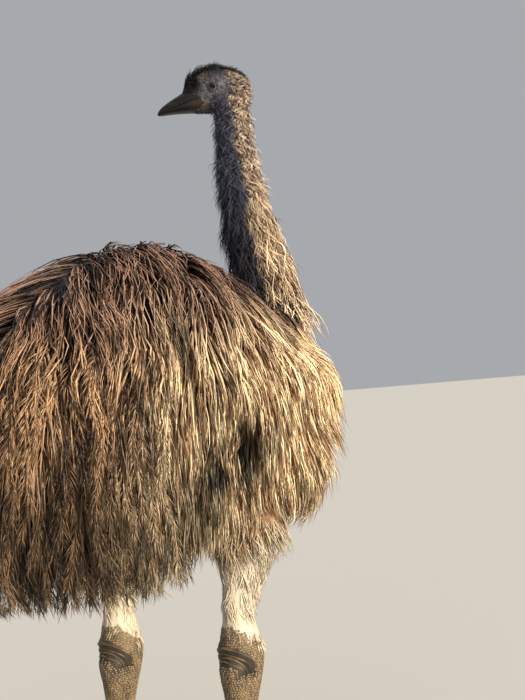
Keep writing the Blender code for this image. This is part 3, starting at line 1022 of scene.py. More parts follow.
def bill_material():
    """Grey-brown horn, darker to the tip and culmen, pinkish brown at the foot of the lower half."""
    material, wire, surface = new_material("bill_horn")
    place = position(wire)
    ahead, rise = head_places(place)
    grain = place.noise(260.0, 4.0, 0.6)
    horn = grain.step(0.3, 0.7).blend(linear(12, 11, 11), linear(26, 23, 22))
    base = grain.step(0.3, 0.7).blend(linear(34, 28, 25), linear(56, 45, 37))
    low = rise.step(-0.001, -0.014) * ahead.step(0.088, 0.052)
    colour = low.blend(horn, base)
    colour = ahead.step(0.112, 0.130).blend(colour, linear(24, 21, 20))
    # painted shade inside each nostril
    for nostril in both_sides(NOSTRIL).values():
        colour = place.distance(tuple(nostril)).step(0.0022, 0.0050).blend(linear(14, 12, 12), colour)
    attach(surface, "Base Color", colour)
    surface.inputs["Roughness"].default_value = 0.42
    surface.inputs["Specular IOR Level"].default_value = 0.28
    attach(surface, "Normal", bump(grain, 0.3, 0.0006))
    return material


def claw_material():
    """Near black horn with a few worn streaks."""
    material, wire, surface = new_material("claw_horn")
    grain = position(wire).stretched((1.0, 0.3, 1.0)).noise(500.0, 3.0)
    attach(surface, "Base Color", grain.step(0.35, 0.75).blend(linear(34, 30, 28), linear(92, 82, 72)))
    attach(surface, "Roughness", grain.step(0.3, 0.7, 0.32, 0.5))
    attach(surface, "Normal", bump(grain, 0.3, 0.0005))
    return material


def heel_crease_shade(place):
    """1 in the channel arched over each heel, where the slack skin folds and painted shade darkens it."""
    found = None
    for name, _ in SIDES:
        x, y = (float(part) for part in leg_line(np.array([HEEL_Z]), name)[0])
        off = place.distance((x, y + 0.030, HEEL_Z)) - 0.031
        ring = ((off * off) ** 0.5).step(0.016, 0.010)
        found = ring if found is None else found + ring
    return found * place.part(2).step(HEEL_Z - 0.016, HEEL_Z - 0.002)


def leg_colour(place):
    """The bare legs' markings: grey-brown, paler on ankle and shin, darker at the feet."""
    mottle = place.noise(60.0, 3.0, 0.6)
    scales = bpy.context.scene.emu_colours.scales
    warm = mottle.step(0.3, 0.7).blend(toned(scales, 0.38), toned(scales, 1.15))
    return place.part(2).step(0.12, 0.02).blend(warm, toned(scales, 0.42))


def scale_material():
    """Horny scales: the leg's markings, with darker seams and a worn, paler crown on each scale."""
    material, wire, surface = new_material("leg_scales")
    place = position(wire)
    edge = attribute(wire, "edge")
    colour = leg_colour(place)
    worn = edge.step(0.75, 0.1) * 0.35
    colour = worn.blend(colour, linear(196, 172, 132))
    colour = edge.step(0.72, 1.0).blend(colour, linear(42, 32, 25))
    attach(surface, "Base Color", colour)
    surface.inputs["Roughness"].default_value = 0.55
    attach(surface, "Normal", bump(place.noise(1500.0, 3.0), 0.25, 0.0003))
    return material


def neck_material():
    """Hair-like feathers of the neck: blue-black over the throat's side, partly painted shade, pinkish tan
    round the back.
    """
    material, wire, surface = new_material("neck_plumage")
    colours = bpy.context.scene.emu_colours
    place = position(wire)
    tone, along = attribute(wire, "tone"), attribute(wire, "along")
    height = place.part(2)
    light = (tone * 0.85 + along * 0.25 + (place.noise(16.0, 2.0) - 0.5) * 0.5 - 0.10).step(0.02, 0.95)
    low = ramp(light, colours.neck_dark, colours.neck_light)
    high = ramp(light, colours.nape_dark, colours.nape_light)
    # darker low on the neck and lighter up to the head: painted shade and painted light on the throat
    throat = throat_and_shade_colour(light * height.step(1.05, 1.32, 0.20, 1.7))
    colour = dark_throat_and_shade(place).blend(height.step(1.12, 1.30).blend(low, high), throat)
    # painted shade towards each feather's root, and painted light past its own colour at the tip
    attach(surface, "Base Color", colour.shaded(along.step(0.0, 0.6, 0.45, 1.22)))
    surface.inputs["Roughness"].default_value = 0.55
    surface.inputs["Specular IOR Level"].default_value = 0.3
    return material


def throat_and_shade_colour(light):
    """Blue-black to slate: the throat's hairs and the skin under them, with painted shade on the neck's unlit
    side.
    """
    shade = bpy.context.scene.emu_colours.face_shade
    return light.blend(toned(shade, 0.15), toned(shade, 1.6))


def dark_throat_and_shade(place):
    """1 down the throat's dark, partly painted shade, on the side the head looks to; its edge drifts that way
    lower down.
    """
    height = place.part(2)
    middle = neck_centre(np.array((1.0, 1.35))) @ FORWARD
    line = height.step(1.0, 1.35, float(middle[0] - 0.004), float(middle[1] + 0.007))
    line = line + height.step(1.28, 1.36, 0.0, -0.012)
    wander = (place.noise(26.0, 2.0) - 0.5) * 0.030
    return (place.along(tuple(FORWARD)) + wander - line).step(-0.008, 0.010)


def head_places(place):
    """How far forward and up of the skull a place is."""
    ahead = place.along(tuple(FORWARD)) - float(SKULL @ FORWARD)
    rise = place.along(tuple(UP)) - float(SKULL @ UP)
    return ahead, rise


def crown_share(place):
    """1 on the black crown and on the brow in front of the eyes down to the bill's foot."""
    ahead, rise = head_places(place)
    wander = (place.noise(60.0, 2.0) - 0.5) * 0.012
    top = 0.0475 - (ahead - 0.014) * (ahead - 0.014) * 7.0
    crown = (rise - top + wander).step(-0.014, -0.005)
    brow = (ahead + wander).step(0.032, 0.044) * (rise + wander).step(-0.004, 0.010)
    return crown.maths("MAXIMUM", crown, brow)


def head_hair_material():
    """Bristles of the head: black on the crown and brow, blue-grey on the cheeks, brown on the nape."""
    material, wire, surface = new_material("head_hair")
    colours = bpy.context.scene.emu_colours
    place = position(wire)
    tone = attribute(wire, "tone")
    ahead, _ = head_places(place)
    light = tone * 0.9 + (place.noise(70.0, 2.0) - 0.5) * 0.5
    cheek = light.blend(toned(colours.face_shade, 0.18), toned(colours.face, (1.25, 1.2, 1.15)))
    nape = ramp(light, colours.nape_dark, colours.nape_light)
    colour = (ahead + (place.noise(55.0, 2.0) - 0.5) * 0.014).step(-0.012, -0.026).blend(cheek, nape)
    lores = ahead.step(0.016, 0.026) * ahead.step(0.075, 0.055)
    colour = lores.blend(colour, light.blend(linear(44, 42, 44), linear(132, 126, 124)))
    colour = crown_share(place).blend(colour, ramp(tone, colours.crown_dark, colours.crown_light))
    attach(surface, "Base Color", colour)
    surface.inputs["Roughness"].default_value = 0.5
    surface.inputs["Specular IOR Level"].default_value = 0.25
    return material


def shank_material():
    """Down of the shanks: cream, brown at the top and behind where it leaves the plumage, partly painted
    shade.
    """
    material, wire, surface = new_material("shank_down")
    place = position(wire)
    # painted shade towards each feather's root
    root = attribute(wire, "along").step(0.0, 0.5, 0.75, 1.0)
    attach(surface, "Base Color", shank_colour(place, attribute(wire, "tone")).shaded(root))
    surface.inputs["Roughness"].default_value = 0.6
    return material


def shank_colour(place, tone):
    """The shanks' markings, for down and skin alike: cream, with brown locks at the top and behind, partly
    painted shade.
    """
    colours = bpy.context.scene.emu_colours
    wander = (place.stretched((1.0, 1.0, 0.3)).noise(42.0, 3.0, 0.6) - 0.5) * 0.13
    # brown at the top and behind: partly the thigh's own brown feathers, partly painted shade under the body
    # and on the leg's unlit back
    brown = (place.part(2) + wander + (place.part(1) + 0.035) * 0.30).step(0.535, 0.585)
    cream = tone.blend(toned(colours.shank, 0.72), toned(colours.shank, 1.0))
    # the flank's colours darkened by 0.55 as painted shade under the body
    return brown.blend(cream, ramp(tone, colours.flank_dark, colours.flank_light).shaded(0.55))


# ------------------------------------------------------------------ strands of feather and hair


def scatter(points, triangles, weight, count, rng):
    """Places spread evenly over a surface: equal steps along the running sum of weighted areas.

    Gives the places and the triangles that they lie in.
    """
    area = lengths(face_normals(points, triangles)) * weight
    total = np.cumsum(area)
    picks = (np.arange(count) + rng.random(count)) * total[-1] / count
    chosen = np.minimum(np.searchsorted(total, picks), len(triangles) - 1)
    first, second = np.sqrt(rng.random(count)), rng.random(count)
    shares = np.stack([1 - first, first * (1 - second), first * second], axis=1)
    return (points[triangles[chosen]] * shares[..., None]).sum(axis=1), chosen


def strand_faces(stations, strands):
    """Triangles of closed three-sided strands: a point, rings of three, and a point."""
    rings = stations - 2
    last = 3 * rings + 1
    one = []
    for side in range(3):
        after = (side + 1) % 3
        one.append((0, 1 + after, 1 + side))
        for ring in range(rings - 1):
            here, there = 1 + 3 * ring + side, 1 + 3 * ring + after
            one.append((here, there, there + 3))
            one.append((here, there + 3, here + 3))
        one.append((last, 1 + 3 * (rings - 1) + side, 1 + 3 * (rings - 1) + after))
    starts = np.arange(strands) * (last + 1)
    return (np.array(one)[None] + starts[:, None, None]).reshape(-1, 3), np.array(one)


def strand_patches(stations, one):
    """Where each corner of one strand's triangles lies in its patch, across by side and along by ring."""
    rings = stations - 2
    last = 3 * rings + 1
    places = np.empty((len(one), 3, 2))
    for index, triangle in enumerate(one):
        middle = [v for v in triangle if 0 < v < last]
        sides = [(v - 1) % 3 for v in middle]
        wraps = 2 in sides and 0 in sides
        for corner, vertex in enumerate(triangle):
            if 0 < vertex < last:
                side = (vertex - 1) % 3
                across = (side + (3 if wraps and side == 0 else 0)) / 3
                along = (1 + (vertex - 1) // 3) / (stations - 1)
            else:
                shifted = [side + (3 if wraps and side == 0 else 0) for side in sides]
                across = np.mean(shifted) / 3
                along = 0.0 if vertex == 0 else 1.0
            places[index, corner] = across, along
    return places


def unwrap_places(roots_uv, spread, stations, one, size=0.003):
    """Each strand's corners in the OFBake map: a small patch at its root's place on the skin's unwrap."""
    low, high = spread
    centre = 0.01 + 0.98 * (roots_uv - low) / (high - low)
    centre = np.clip(centre, size, 1 - size)
    patch = (strand_patches(stations, one) - 0.5) * size
    return (centre[:, None, None, :] + patch[None]).reshape(-1, 2)


def strand_body(lines, lift, half_width, half_thick, roll=None):
    """Points, triangles, one strand's own triangles, and every point's share along its strand."""
    strands, stations, _ = lines.shape
    along = unit(np.gradient(lines, axis=1))
    side = unit(np.cross(along, lift))
    up = np.cross(side, along)
    if roll is not None:
        turn = roll[..., None]
        side, up = side * np.cos(turn) + up * np.sin(turn), up * np.cos(turn) - side * np.sin(turn)
    middle = lines[:, 1:-1]
    wide = (side * half_width[..., None])[:, 1:-1]
    thick = (up * half_thick[..., None])[:, 1:-1]
    rings = np.stack([middle - wide - thick * 0.5, middle + wide - thick * 0.5, middle + thick], axis=2)
    points = np.concatenate([lines[:, :1], rings.reshape(strands, -1, 3), lines[:, -1:]], axis=1)
    faces, one = strand_faces(stations, strands)
    share = np.concatenate([[0.0], np.repeat(np.arange(1, stations - 1) / (stations - 1), 3), [1.0]])
    return points.reshape(-1, 3), faces, one, np.tile(share, strands)


def add_strands(name, lines, lift, half_width, half_thick, roots_uv, tone, material, roll=None):
    """One piece of many closed strands.

    lines holds each strand's centre line, lift the way its ridge faces, and the widths run along it; the
    first and the last point are the strand's two ends.
    """
    points, faces, one, share = strand_body(lines, lift, half_width, half_thick, roll)
    piece = add_piece(name, points, faces, material)
    spread = roots_uv.min(axis=0), roots_uv.max(axis=0)
    add_unwrap(piece, "OFBake", unwrap_places(roots_uv, spread, lines.shape[1], one))
    add_values(piece, "along", share)
    add_values(piece, "tone", np.repeat(tone, len(points) // len(lines)))
    return piece


def taper(share, root=0.45, fullest=0.35):
    """A strand's width along itself: narrow at the root, fullest a third along, then down to its point."""
    rise = root + (1 - root) * ease(0, fullest, share)
    return rise * (1 - np.clip((share - fullest) / (1 - fullest), 0, 1) ** 2.2)


# ------------------------------------------------------------------ plumage of the body

STATIONS = 6  # points along a body strand
SPARE = 0.060  # how far short of the outline the shortest-reaching tips stay, as a level


def lie(points, out, side):
    """The lie of the plumage: off the spine to both sides, down the flanks, and back over the rump.

    A slow wander, made of a few sines of the place, turns neighbouring locks together.  Where the outline
    turns under, feathers leave it and hang straight down.
    """
    x, y, z = points.T
    top = np.clip(out[:, 2], 0, 1)
    rear = ease(0.05, 0.34, y)
    way = np.stack([side * top**2 * 0.9, 0.05 + 0.26 * top + 0.75 * rear * top, -np.ones_like(x)], axis=1)
    along = unit(way - out * (way * out).sum(axis=1, keepdims=True))
    wander = 0.18 * np.sin(19 * y + 11 * z + side) + 0.17 * np.sin(33 * z - 27 * y + 2 + 9 * x)
    wander = wander + 0.14 * np.sin(71 * y + 43 * z + 4 * side) + 0.10 * np.sin(58 * z - 97 * y + 3)
    wander = wander[:, None] * mix(1.0, 0.6, top)[:, None]
    along = along * np.cos(wander) + np.cross(out, along) * np.sin(wander)
    down = unit(np.stack([side * 0.02, 0.03 + 0.5 * wander[:, 0], -np.ones_like(x)], axis=1))
    hang = ease(0.30, -0.15, out[:, 2])
    return unit(mix(along, down, hang[:, None])), hang


def guide_lines(roots, lengths, tips, side):
    """Centre lines of the locks: each step follows the lie, then moves to the level for its share.

    The level climbs from the skin at the root to the outline at the tip; hanging parts only keep inside.
    """
    start = level(roots)
    lines, lifts = [roots], []
    here = roots
    step = (lengths / (STATIONS - 1))[:, None]
    for station in range(1, STATIONS):
        out = outward(here)
        lifts.append(out)
        way, hang = lie(here, out, side)
        share = station / (STATIONS - 1)
        climb = 1 - (1 - share) ** mix(1.7, 2.3, ease(0.3, 0.95, out[:, 2]))
        wanted = mix(start, tips, climb)
        ahead = here + way * step
        held = np.minimum(level(ahead), wanted)
        ahead = to_level(ahead, mix(wanted, held, hang))
        move = np.linalg.norm(ahead - here, axis=1, keepdims=True)
        here = here + unit(ahead - here) * np.clip(move, 0.3 * step, step)
        here = to_level(here, np.minimum(level(here), np.maximum(wanted, start)))
        lines.append(here)
    lifts.append(outward(here))
    return np.stack(lines, axis=1), np.stack(lifts, axis=1)


def resample(values, shares):
    """Values along each guide read at other shares of its length, each strand with its own."""
    place = shares * (values.shape[1] - 1)
    lower = np.minimum(place.astype(int), values.shape[1] - 2)
    rows = np.arange(len(values))[:, None]
    return mix(values[rows, lower], values[rows, lower + 1], (place - lower)[..., None])


def strands_from_guides(lines, lifts, each, spread, longest, close, rng):
    """Several strands for each guide, which start apart, draw together towards the tip and waver.

    longest is the share of each guide that its strands may reach, and close how far they draw together;
    those that draw together least waver most.
    """
    guides = len(lines)
    lines, lifts = np.repeat(lines, each, axis=0), np.repeat(lifts, each, axis=0)
    count = len(lines)
    share = np.linspace(0, 1, STATIONS)[None, :]
    own = mix(0.60, 1.0, rng.random((count, 1)) ** 0.7) * np.repeat(longest, each)[:, None]
    centre, lift = resample(lines, share * own), unit(resample(lifts, share * own))
    along = unit(np.gradient(centre, axis=1))
    side = unit(np.cross(along, lift))
    angle = rng.random((count, 1)) * 2 * math.pi
    radius = spread * np.sqrt(rng.random((count, 1)))
    gather = 1 - np.repeat(close, each)[:, None] * share**1.3
    sway = (rng.random((count, 1)) * 0.8 + 0.6) * 2 * math.pi * share + rng.random((count, 1)) * 2 * math.pi
    wave = 0.0065 + 0.0100 * np.repeat(0.78 - close, each)[:, None]
    offset = radius * np.cos(angle) * gather + wave * share * np.sin(sway) * (0.3 + rng.random((count, 1)))
    centre = centre + side * offset[..., None]
    centre = centre + along * (radius * np.sin(angle) * gather)[..., None]
    puff = rng.normal(0, 0.0034, (count, 1)) * np.sin(share * math.pi * 0.75 + 0.2)
    stray = 0.010 * (rng.random((count, 1)) > 0.965) * share**2
    centre = centre + lift * (puff + stray)[..., None]
    return centre, lift, np.repeat(np.arange(guides), each)


def body_unwrap(points):
    """The trunk's own unwrap: the angle round its long axis, and how far back."""
    turn = np.arctan2(points[:, 0], points[:, 2] - WAIST_Z + 0.02)
    return np.stack([turn / math.pi, points[:, 1]], axis=1)


def plumage_regions(centres):
    """Which part of the body each place belongs to: the back, or front or rear of either flank."""
    turn = np.degrees(np.arctan2(centres[:, 0], centres[:, 2] - WAIST_Z))
    top = np.abs(turn) < 42
    rear = centres[:, 1] > 0.0
    return {
        "plumage_back": top,
        "plumage_left_front": ~top & (turn > 0) & ~rear,
        "plumage_left_rear": ~top & (turn > 0) & rear,
        "plumage_right_front": ~top & (turn <= 0) & ~rear,
        "plumage_right_rear": ~top & (turn <= 0) & rear,
    }


def hem_height(points):
    """The level that the tips may hang to: highest over the thighs, lowest behind and under the breast."""
    over_thigh = [bell((points[:, 1] - LEGS[name][1] + 0.010) / 0.060) for name, _ in SIDES]
    return HEM_Z + 0.055 * np.where(points[:, 0] > 0, *over_thigh) + 0.02 * ease(0.30, 0.45, points[:, 1])


def lock_lengths(roots, steep, sizes, rng):
    """Each lock's length, mixed from those of back, flank, rump and breast, and cut short above the hem.

    steep is the upward part of the skin's normal at each root: 1 on the back and 0 on the flanks.
    """
    length = mix(sizes.flank_length, sizes.back_length, ease(0.2, 0.8, steep))
    length = mix(length, sizes.rump_length, ease(0.05, 0.30, roots[:, 1]))
    length = mix(length, sizes.breast_length, ease(-0.22, -0.40, roots[:, 1]))
    length = length * rng.uniform(0.75, 1.15, len(roots))
    drop = roots[:, 2] - hem_height(roots) - rng.random(len(roots)) ** 1.6 * 0.06
    return np.minimum(length, np.maximum(drop, 0.040) + 0.6 * ease(0.3, 0.8, steep))


def parted_at_hollow(lines, lifts, rng):
    """The locks pressed in at the hollow, and the share of each that its strands may reach.

    A lock that runs into the hollow ends near its edge; a few are let across it.
    """
    pit = hollow(lines)
    lines = lines - lifts * (0.5 * HOLLOW_DEPTH * pit)[..., None]
    inside = pit > rng.uniform(0.35, 0.65, (len(lines), 1))
    cut = inside.any(axis=1) & (rng.random(len(lines)) < 0.985)
    edge = np.maximum(np.argmax(inside, axis=1) - 0.35, 0.8) / (STATIONS - 1)
    return lines, np.where(cut, edge, 1.0)


def make_plumage(skin, sizes):
    """Five pieces of hanging strands that cover the trunk."""
    points, triangles, centres, normals = skin_faces(skin)
    material = plumage_material()
    on_trunk = (centres[:, 2] > HEM_Z + 0.03) & ((centres[:, 2] < 0.99) | (centres[:, 1] > -0.25))
    under = mix(1.0, 0.45, ease(-0.3, -0.9, normals[:, 2]))
    under = under * (1 + 1.8 * bell(centres[:, 0] / 0.028) * ease(0.5, 0.8, normals[:, 2]))
    guides = fewer(sizes.locks)
    share = np.linspace(0, 1, STATIONS)[None, :]
    for number, (name, region) in enumerate(plumage_regions(centres).items()):
        rng = np.random.default_rng(100 + number)
        roots, chosen = scatter(points, triangles, region * on_trunk * under, guides, rng)
        roots = unsettled(roots - normals[chosen] * 0.004)
        side = np.where(np.abs(roots[:, 0]) > 0.012, np.sign(roots[:, 0]), rng.choice((-1, 1), guides))
        steep = normals[chosen, 2]
        length = lock_lengths(roots, steep, sizes, rng)
        depth = rng.random(guides) ** 1.3
        lines, lifts = guide_lines(roots, length, 1 - SPARE * depth, side)
        lines, longest = parted_at_hollow(lines, lifts, rng)
        close = mix(0.78, 0.38, ease(0.3, 0.8, steep))
        centre, lift, owner = strands_from_guides(
            lines, lifts, sizes.strands_each, sizes.lock_spread, longest, close, rng
        )
        centre = to_level(centre, np.minimum(level(centre), 1.022))
        centre = centre + settle_shift(centre)
        count = len(centre)
        fine = mix(1.0, 0.72, ease(0.3, 0.8, steep))[owner, None]
        half = sizes.strand_width / 2 * fine * rng.uniform(0.5, 1.4, (count, 1)) * taper(share)
        # locks that lie deeper get a darker tone, as painted shade
        tone = 0.42 * rng.random(guides)[owner] + 0.62 * rng.random(count) + 0.09 - 0.24 * depth[owner]
        roll = rng.normal(0, 0.45, (count, 1)) + rng.normal(0, 0.5, (count, 1)) * share
        add_strands(name, centre, lift, half, half * 0.45, body_unwrap(roots)[owner], np.clip(tone, 0, 1),
                    material, roll)


# ------------------------------------------------------------------ neck, head and shanks

# The neck's feathers up z: their length, their steepness, and how far they droop, curl and stray.
NECK_LENGTH = ((0.95, 0.105), (1.05, 0.085), (1.13, 0.062), (1.22, 0.040), (1.32, 0.024), (1.38, 0.017))
NECK_LIFT = ((1.0, 0.42), (1.2, 0.62), (1.35, 0.85))
NECK_DROOP = ((1.0, 0.30), (1.25, 0.10))
NECK_CURL = ((1.0, 0.08), (1.2, 0.20), (1.35, 0.34))
NECK_STRAY = ((1.0, 0.10), (1.16, 0.20), (1.32, 0.42))
SHANK_LENGTH = ((ANKLE_Z, 0.020), (0.48, 0.026), (0.56, 0.038), (0.66, 0.060))  # of the down, up z
HEEL_LIFT = 0.036  # the down and the scales meet this much higher at the heel than in front
HEAD_STATIONS = 4  # points along a bristle of the head
SHANK_STATIONS = 5


def neck_unwrap(points):
    """The neck's own unwrap: the angle round its centre line, and the height."""
    away = points - neck_centre(points[:, 2])
    return np.stack([np.arctan2(away[:, 0], -away[:, 1]) / math.pi, points[:, 2] * 2], axis=1)


def head_unwrap(points):
    """The head's own unwrap: longitude round its long axis, and how far forward."""
    head = in_head(points)
    return np.stack([np.arctan2(head[:, 2], head[:, 1] + 0.002) / math.pi, head[:, 0] * 8], axis=1)


def leg_unwrap(points):
    """The shanks' unwrap: the angle round each leg, the left leg's beside the right's, and the height."""
    places = np.empty((len(points), 2))
    for name, side in SIDES:
        turn, _ = around_leg(points, name)
        mine = points[:, 0] * side > 0
        places[mine, 0] = (turn / math.pi + side * 1.1)[mine]
    places[:, 1] = points[:, 2] * 4
    return places


def hair_lines(roots, normals, way, length, lift, droop, curl, stations, rng, stray=0.42):
    """Short feathers: each leaves its root along a mix of its own way and the skin's normal, then bends.

    Its way strays from the common one by a random angle and by a slow wander that neighbours share.  Over
    its length it sinks by droop, and curls sideways on a sine of its own phase.
    """
    count = len(roots)
    share = np.linspace(0, 1, stations)[None, :, None]
    way = unit(way - normals * (way * normals).sum(axis=1, keepdims=True) * 0.8)
    side = unit(np.cross(way, normals))
    x, y, z = roots.T
    shared = 0.22 * np.sin(61 * z + 47 * x) + 0.20 * np.sin(113 * z - 83 * y + 2)
    shared = shared + 0.12 * np.sin(190 * x + 151 * y)
    turn = rng.normal(0, 1, (count, 1)) * stray + shared[:, None]
    way = unit(way * np.cos(turn) + side * np.sin(turn))
    rise = lift * share * (1 - 0.55 * share)
    line = way[:, None] * share + normals[:, None] * rise
    line[..., 2] -= droop * share[..., 0] ** 2
    phase = rng.random((count, 1, 1)) * 2 * math.pi
    beat = rng.uniform(0.5, 1.3, (count, 1, 1)) * 2 * math.pi
    line = line + side[:, None] * (np.sin(phase + beat * share) - np.sin(phase)) * curl
    return roots[:, None] + line * length[:, None, None]


def add_hairs(name, lines, out, half, flatness, roots_uv, tone, material, roll=None):
    """One piece of short feathers, each facing out of the skin; flatness is its thickness over its width."""
    lifts = np.repeat(out[:, None], lines.shape[1], axis=1)
    add_strands(name, lines, lifts, half, half * flatness, roots_uv, tone, material, roll)


def rooted(skin, region, count, rng):
    """Roots spread over the skin by the share that a region gives each place, and the normals there."""
    points, triangles, centres, normals = skin_faces(skin)
    roots, chosen = scatter(points, triangles, region(centres), count, rng)
    return roots, normals[chosen]


def neck_region(centres, low, high):
    """The neck's skin from a low to a high level, short of the chin, denser towards the top."""
    away = lengths((centres - neck_centre(centres[:, 2]))[:, :2])
    heights = centres[:, 2]
    head = in_head(centres)
    under_chin = (head[:, 0] < 0.014 + 0.6 * np.clip(-head[:, 1] - 0.02, 0, 0.03)) | (heights < 1.345)
    inside = (heights > low) & (heights < high) & (away < 0.11) & under_chin
    return inside * mix(0.8, 1.3, ease(low, high, heights))


def neck_lines(roots, out, stations, rng):
    """Centre lines of the neck's feathers, which point down the neck from each root."""
    count, heights = len(roots), roots[:, 2]
    down = -unit(neck_centre(heights + 0.02) - neck_centre(heights))
    length = read_off(NECK_LENGTH, heights) * rng.uniform(0.7, 1.2, count)
    lift = read_off(NECK_LIFT, heights)[:, None, None] * rng.uniform(0.2, 1.8, (count, 1, 1))
    droop = read_off(NECK_DROOP, heights)[:, None]
    curl = read_off(NECK_CURL, heights)[:, None, None]
    stray = read_off(NECK_STRAY, heights)[:, None]
    return hair_lines(roots - out * 0.001, out, down, length, lift, droop, curl, stations, rng, stray)


def make_neck(skin, sizes):
    """Drooping feathers at the foot of the neck that shorten up to curly hair-like ones under the skull."""
    material = neck_material()
    parts = (
        ("neck_plumage", 0.90, 1.13, sizes.neck_feathers, 6, 0.0022),
        ("neck_hair", 1.10, 1.40, sizes.neck_hairs, 4, 0.0012),
    )
    for number, (name, low, high, full, stations, width) in enumerate(parts):
        rng = np.random.default_rng(200 + number)
        count = fewer(full)
        roots, out = rooted(skin, lambda centres: neck_region(centres, low, high), count, rng)
        lines = neck_lines(roots, out, stations, rng)
        share = np.linspace(0, 1, stations)[None, :]
        half = width / 2 * rng.uniform(0.5, 1.3, (count, 1)) * taper(share, 0.6, 0.2)
        roll = rng.normal(0, 0.6, (count, 1)) * np.ones_like(share)
        tone = rng.random(count)
        add_hairs(name, lines, out, half, 0.45, neck_unwrap(roots), tone, material, roll)


def head_region(centres):
    """The head's skin short of the bill: densest on crown, brow and nape, bare round eyes and ears."""
    head = in_head(centres)
    crown = ease(0.016, 0.036, head[:, 1]) * ease(0.080, 0.066, head[:, 0])
    brow = ease(0.030, 0.042, head[:, 0]) * ease(-0.004, 0.010, head[:, 1])
    nape = ease(0.004, -0.016, head[:, 0])
    cover = 0.75 + 0.35 * np.maximum(crown, nape) + 0.4 * brow
    for eye in EYES.values():
        cover = cover * ease(0.0090, 0.0118, lengths(centres - eye))
    for ear in both_sides(EAR).values():
        cover = cover * ease(0.0045, 0.0075, lengths(centres - ear))
    return cover * (centres[:, 2] > 1.345) * (head[:, 0] < 0.076)


def head_lines(roots, out, rng):
    """Centre lines of the bristles, which lie back and down and stand up in a tuft on the brow."""
    head = in_head(roots)
    crown = ease(0.016, 0.040, head[:, 1])
    tuft = bell((head[:, 0] - 0.046) / 0.016) * ease(0.010, 0.034, head[:, 1])
    nape = ease(0.000, -0.030, head[:, 0])
    back = -FORWARD * (0.75 - 0.55 * tuft)[:, None] - UP * (ease(0.030, -0.03, head[:, 1]) * 0.9)[:, None]
    top = bell((head[:, 0] - 0.014) / 0.016) * ease(0.034, 0.050, head[:, 1])
    length = mix(0.0066, 0.0115, crown) + 0.009 * tuft + 0.005 * nape + 0.008 * top
    length = length * rng.uniform(0.6, 1.25, len(roots))
    steep = mix(0.35, 1.0, np.maximum(crown, 0.8 * nape)) * rng.uniform(0.5, 1.4, len(roots))
    roots = roots - out * 0.0006
    return hair_lines(roots, out, back, length, steep[:, None, None], 0.10, 0.22, HEAD_STATIONS, rng)


def make_head_hair(skin, sizes):
    """Short dark bristles: dense on the crown and nape, sparse on the cheeks, none round eye and ear."""
    rng = np.random.default_rng(300)
    count = fewer(sizes.head_hairs)
    roots, out = rooted(skin, head_region, count, rng)
    lines = head_lines(roots, out, rng)
    share = np.linspace(0, 1, HEAD_STATIONS)[None, :]
    half = 0.00055 * rng.uniform(0.6, 1.3, (count, 1)) * taper(share)
    tone = rng.random(count)
    add_hairs("head_hair", lines, out, half, 0.6, head_unwrap(roots), tone, head_hair_material())


def shank_region(centres):
    """The shanks' skin from the ankle's feathered edge up into the plumage, denser towards the ankle."""
    near = np.min([around_leg(centres, name)[1] for name, _ in SIDES], axis=0) < 0.10
    edge = ANKLE_Z - 0.010 + HEEL_LIFT * heel_bareness(centres)
    thick = mix(1.0, 1.7, ease(0.52, 0.47, centres[:, 2]))
    return near * thick * ease(-0.006, 0.006, centres[:, 2] - edge) * (centres[:, 2] < 0.69)


def make_shank_down(skin, sizes):
    """Short soft pale feathers down both shanks, browner and longer where they leave the plumage."""
    rng = np.random.default_rng(400)
    count = fewer(sizes.shank_feathers)
    roots, out = rooted(skin, shank_region, count, rng)
    down = np.tile((0.0, 0.0, -1.0), (count, 1))
    length = read_off(SHANK_LENGTH, roots[:, 2]) * rng.uniform(0.7, 1.25, count)
    lift = rng.uniform(0.04, 0.17, (count, 1, 1))
    lines = hair_lines(roots - out * 0.001, out, down, length, lift, 0.05, 0.05, SHANK_STATIONS, rng, 0.13)
    share = np.linspace(0, 1, SHANK_STATIONS)[None, :]
    half = 0.0011 * rng.uniform(0.6, 1.3, (count, 1)) * taper(share)
    tone = rng.random(count)
    roll = rng.normal(0, 0.5, (count, 1)) * np.ones_like(share)
    places = leg_unwrap(roots)
    add_hairs("shank_down", lines, out, half, 0.45, places, tone, shank_material(), roll)


def heel_bareness(points):
    """1 at the back of either leg and 0 in front, where the feathers reach lower."""
    bare = np.zeros(len(points))
    for name, side in SIDES:
        turn, _ = around_leg(points, name)
        mine = points[:, 0] * side > 0
        bare[mine] = ease(2.2, 0.6, np.abs(turn))[mine]
    return bare


# ------------------------------------------------------------------ eyes, bill and claws


def smooth_rows(stations, count):
    """Rows read evenly along a Catmull-Rom curve through stations of several numbers."""
    stations = np.asarray(stations, float)
    ends = np.concatenate([2 * stations[:1] - stations[1:2], stations, 2 * stations[-1:] - stations[-2:-1]])
    place = np.linspace(0, len(stations) - 1, count)
    start = np.minimum(place.astype(int), len(stations) - 2)
    share = (place - start)[:, None]
    before, first, second, after = (ends[start + step] for step in range(4))
    slope_in, slope_out = (second - before) / 2, (after - first) / 2
    rise = 3 * (second - first) - 2 * slope_in - slope_out
    fall = 2 * (first - second) + slope_in + slope_out
    return first + slope_in * share + rise * share**2 + fall * share**3


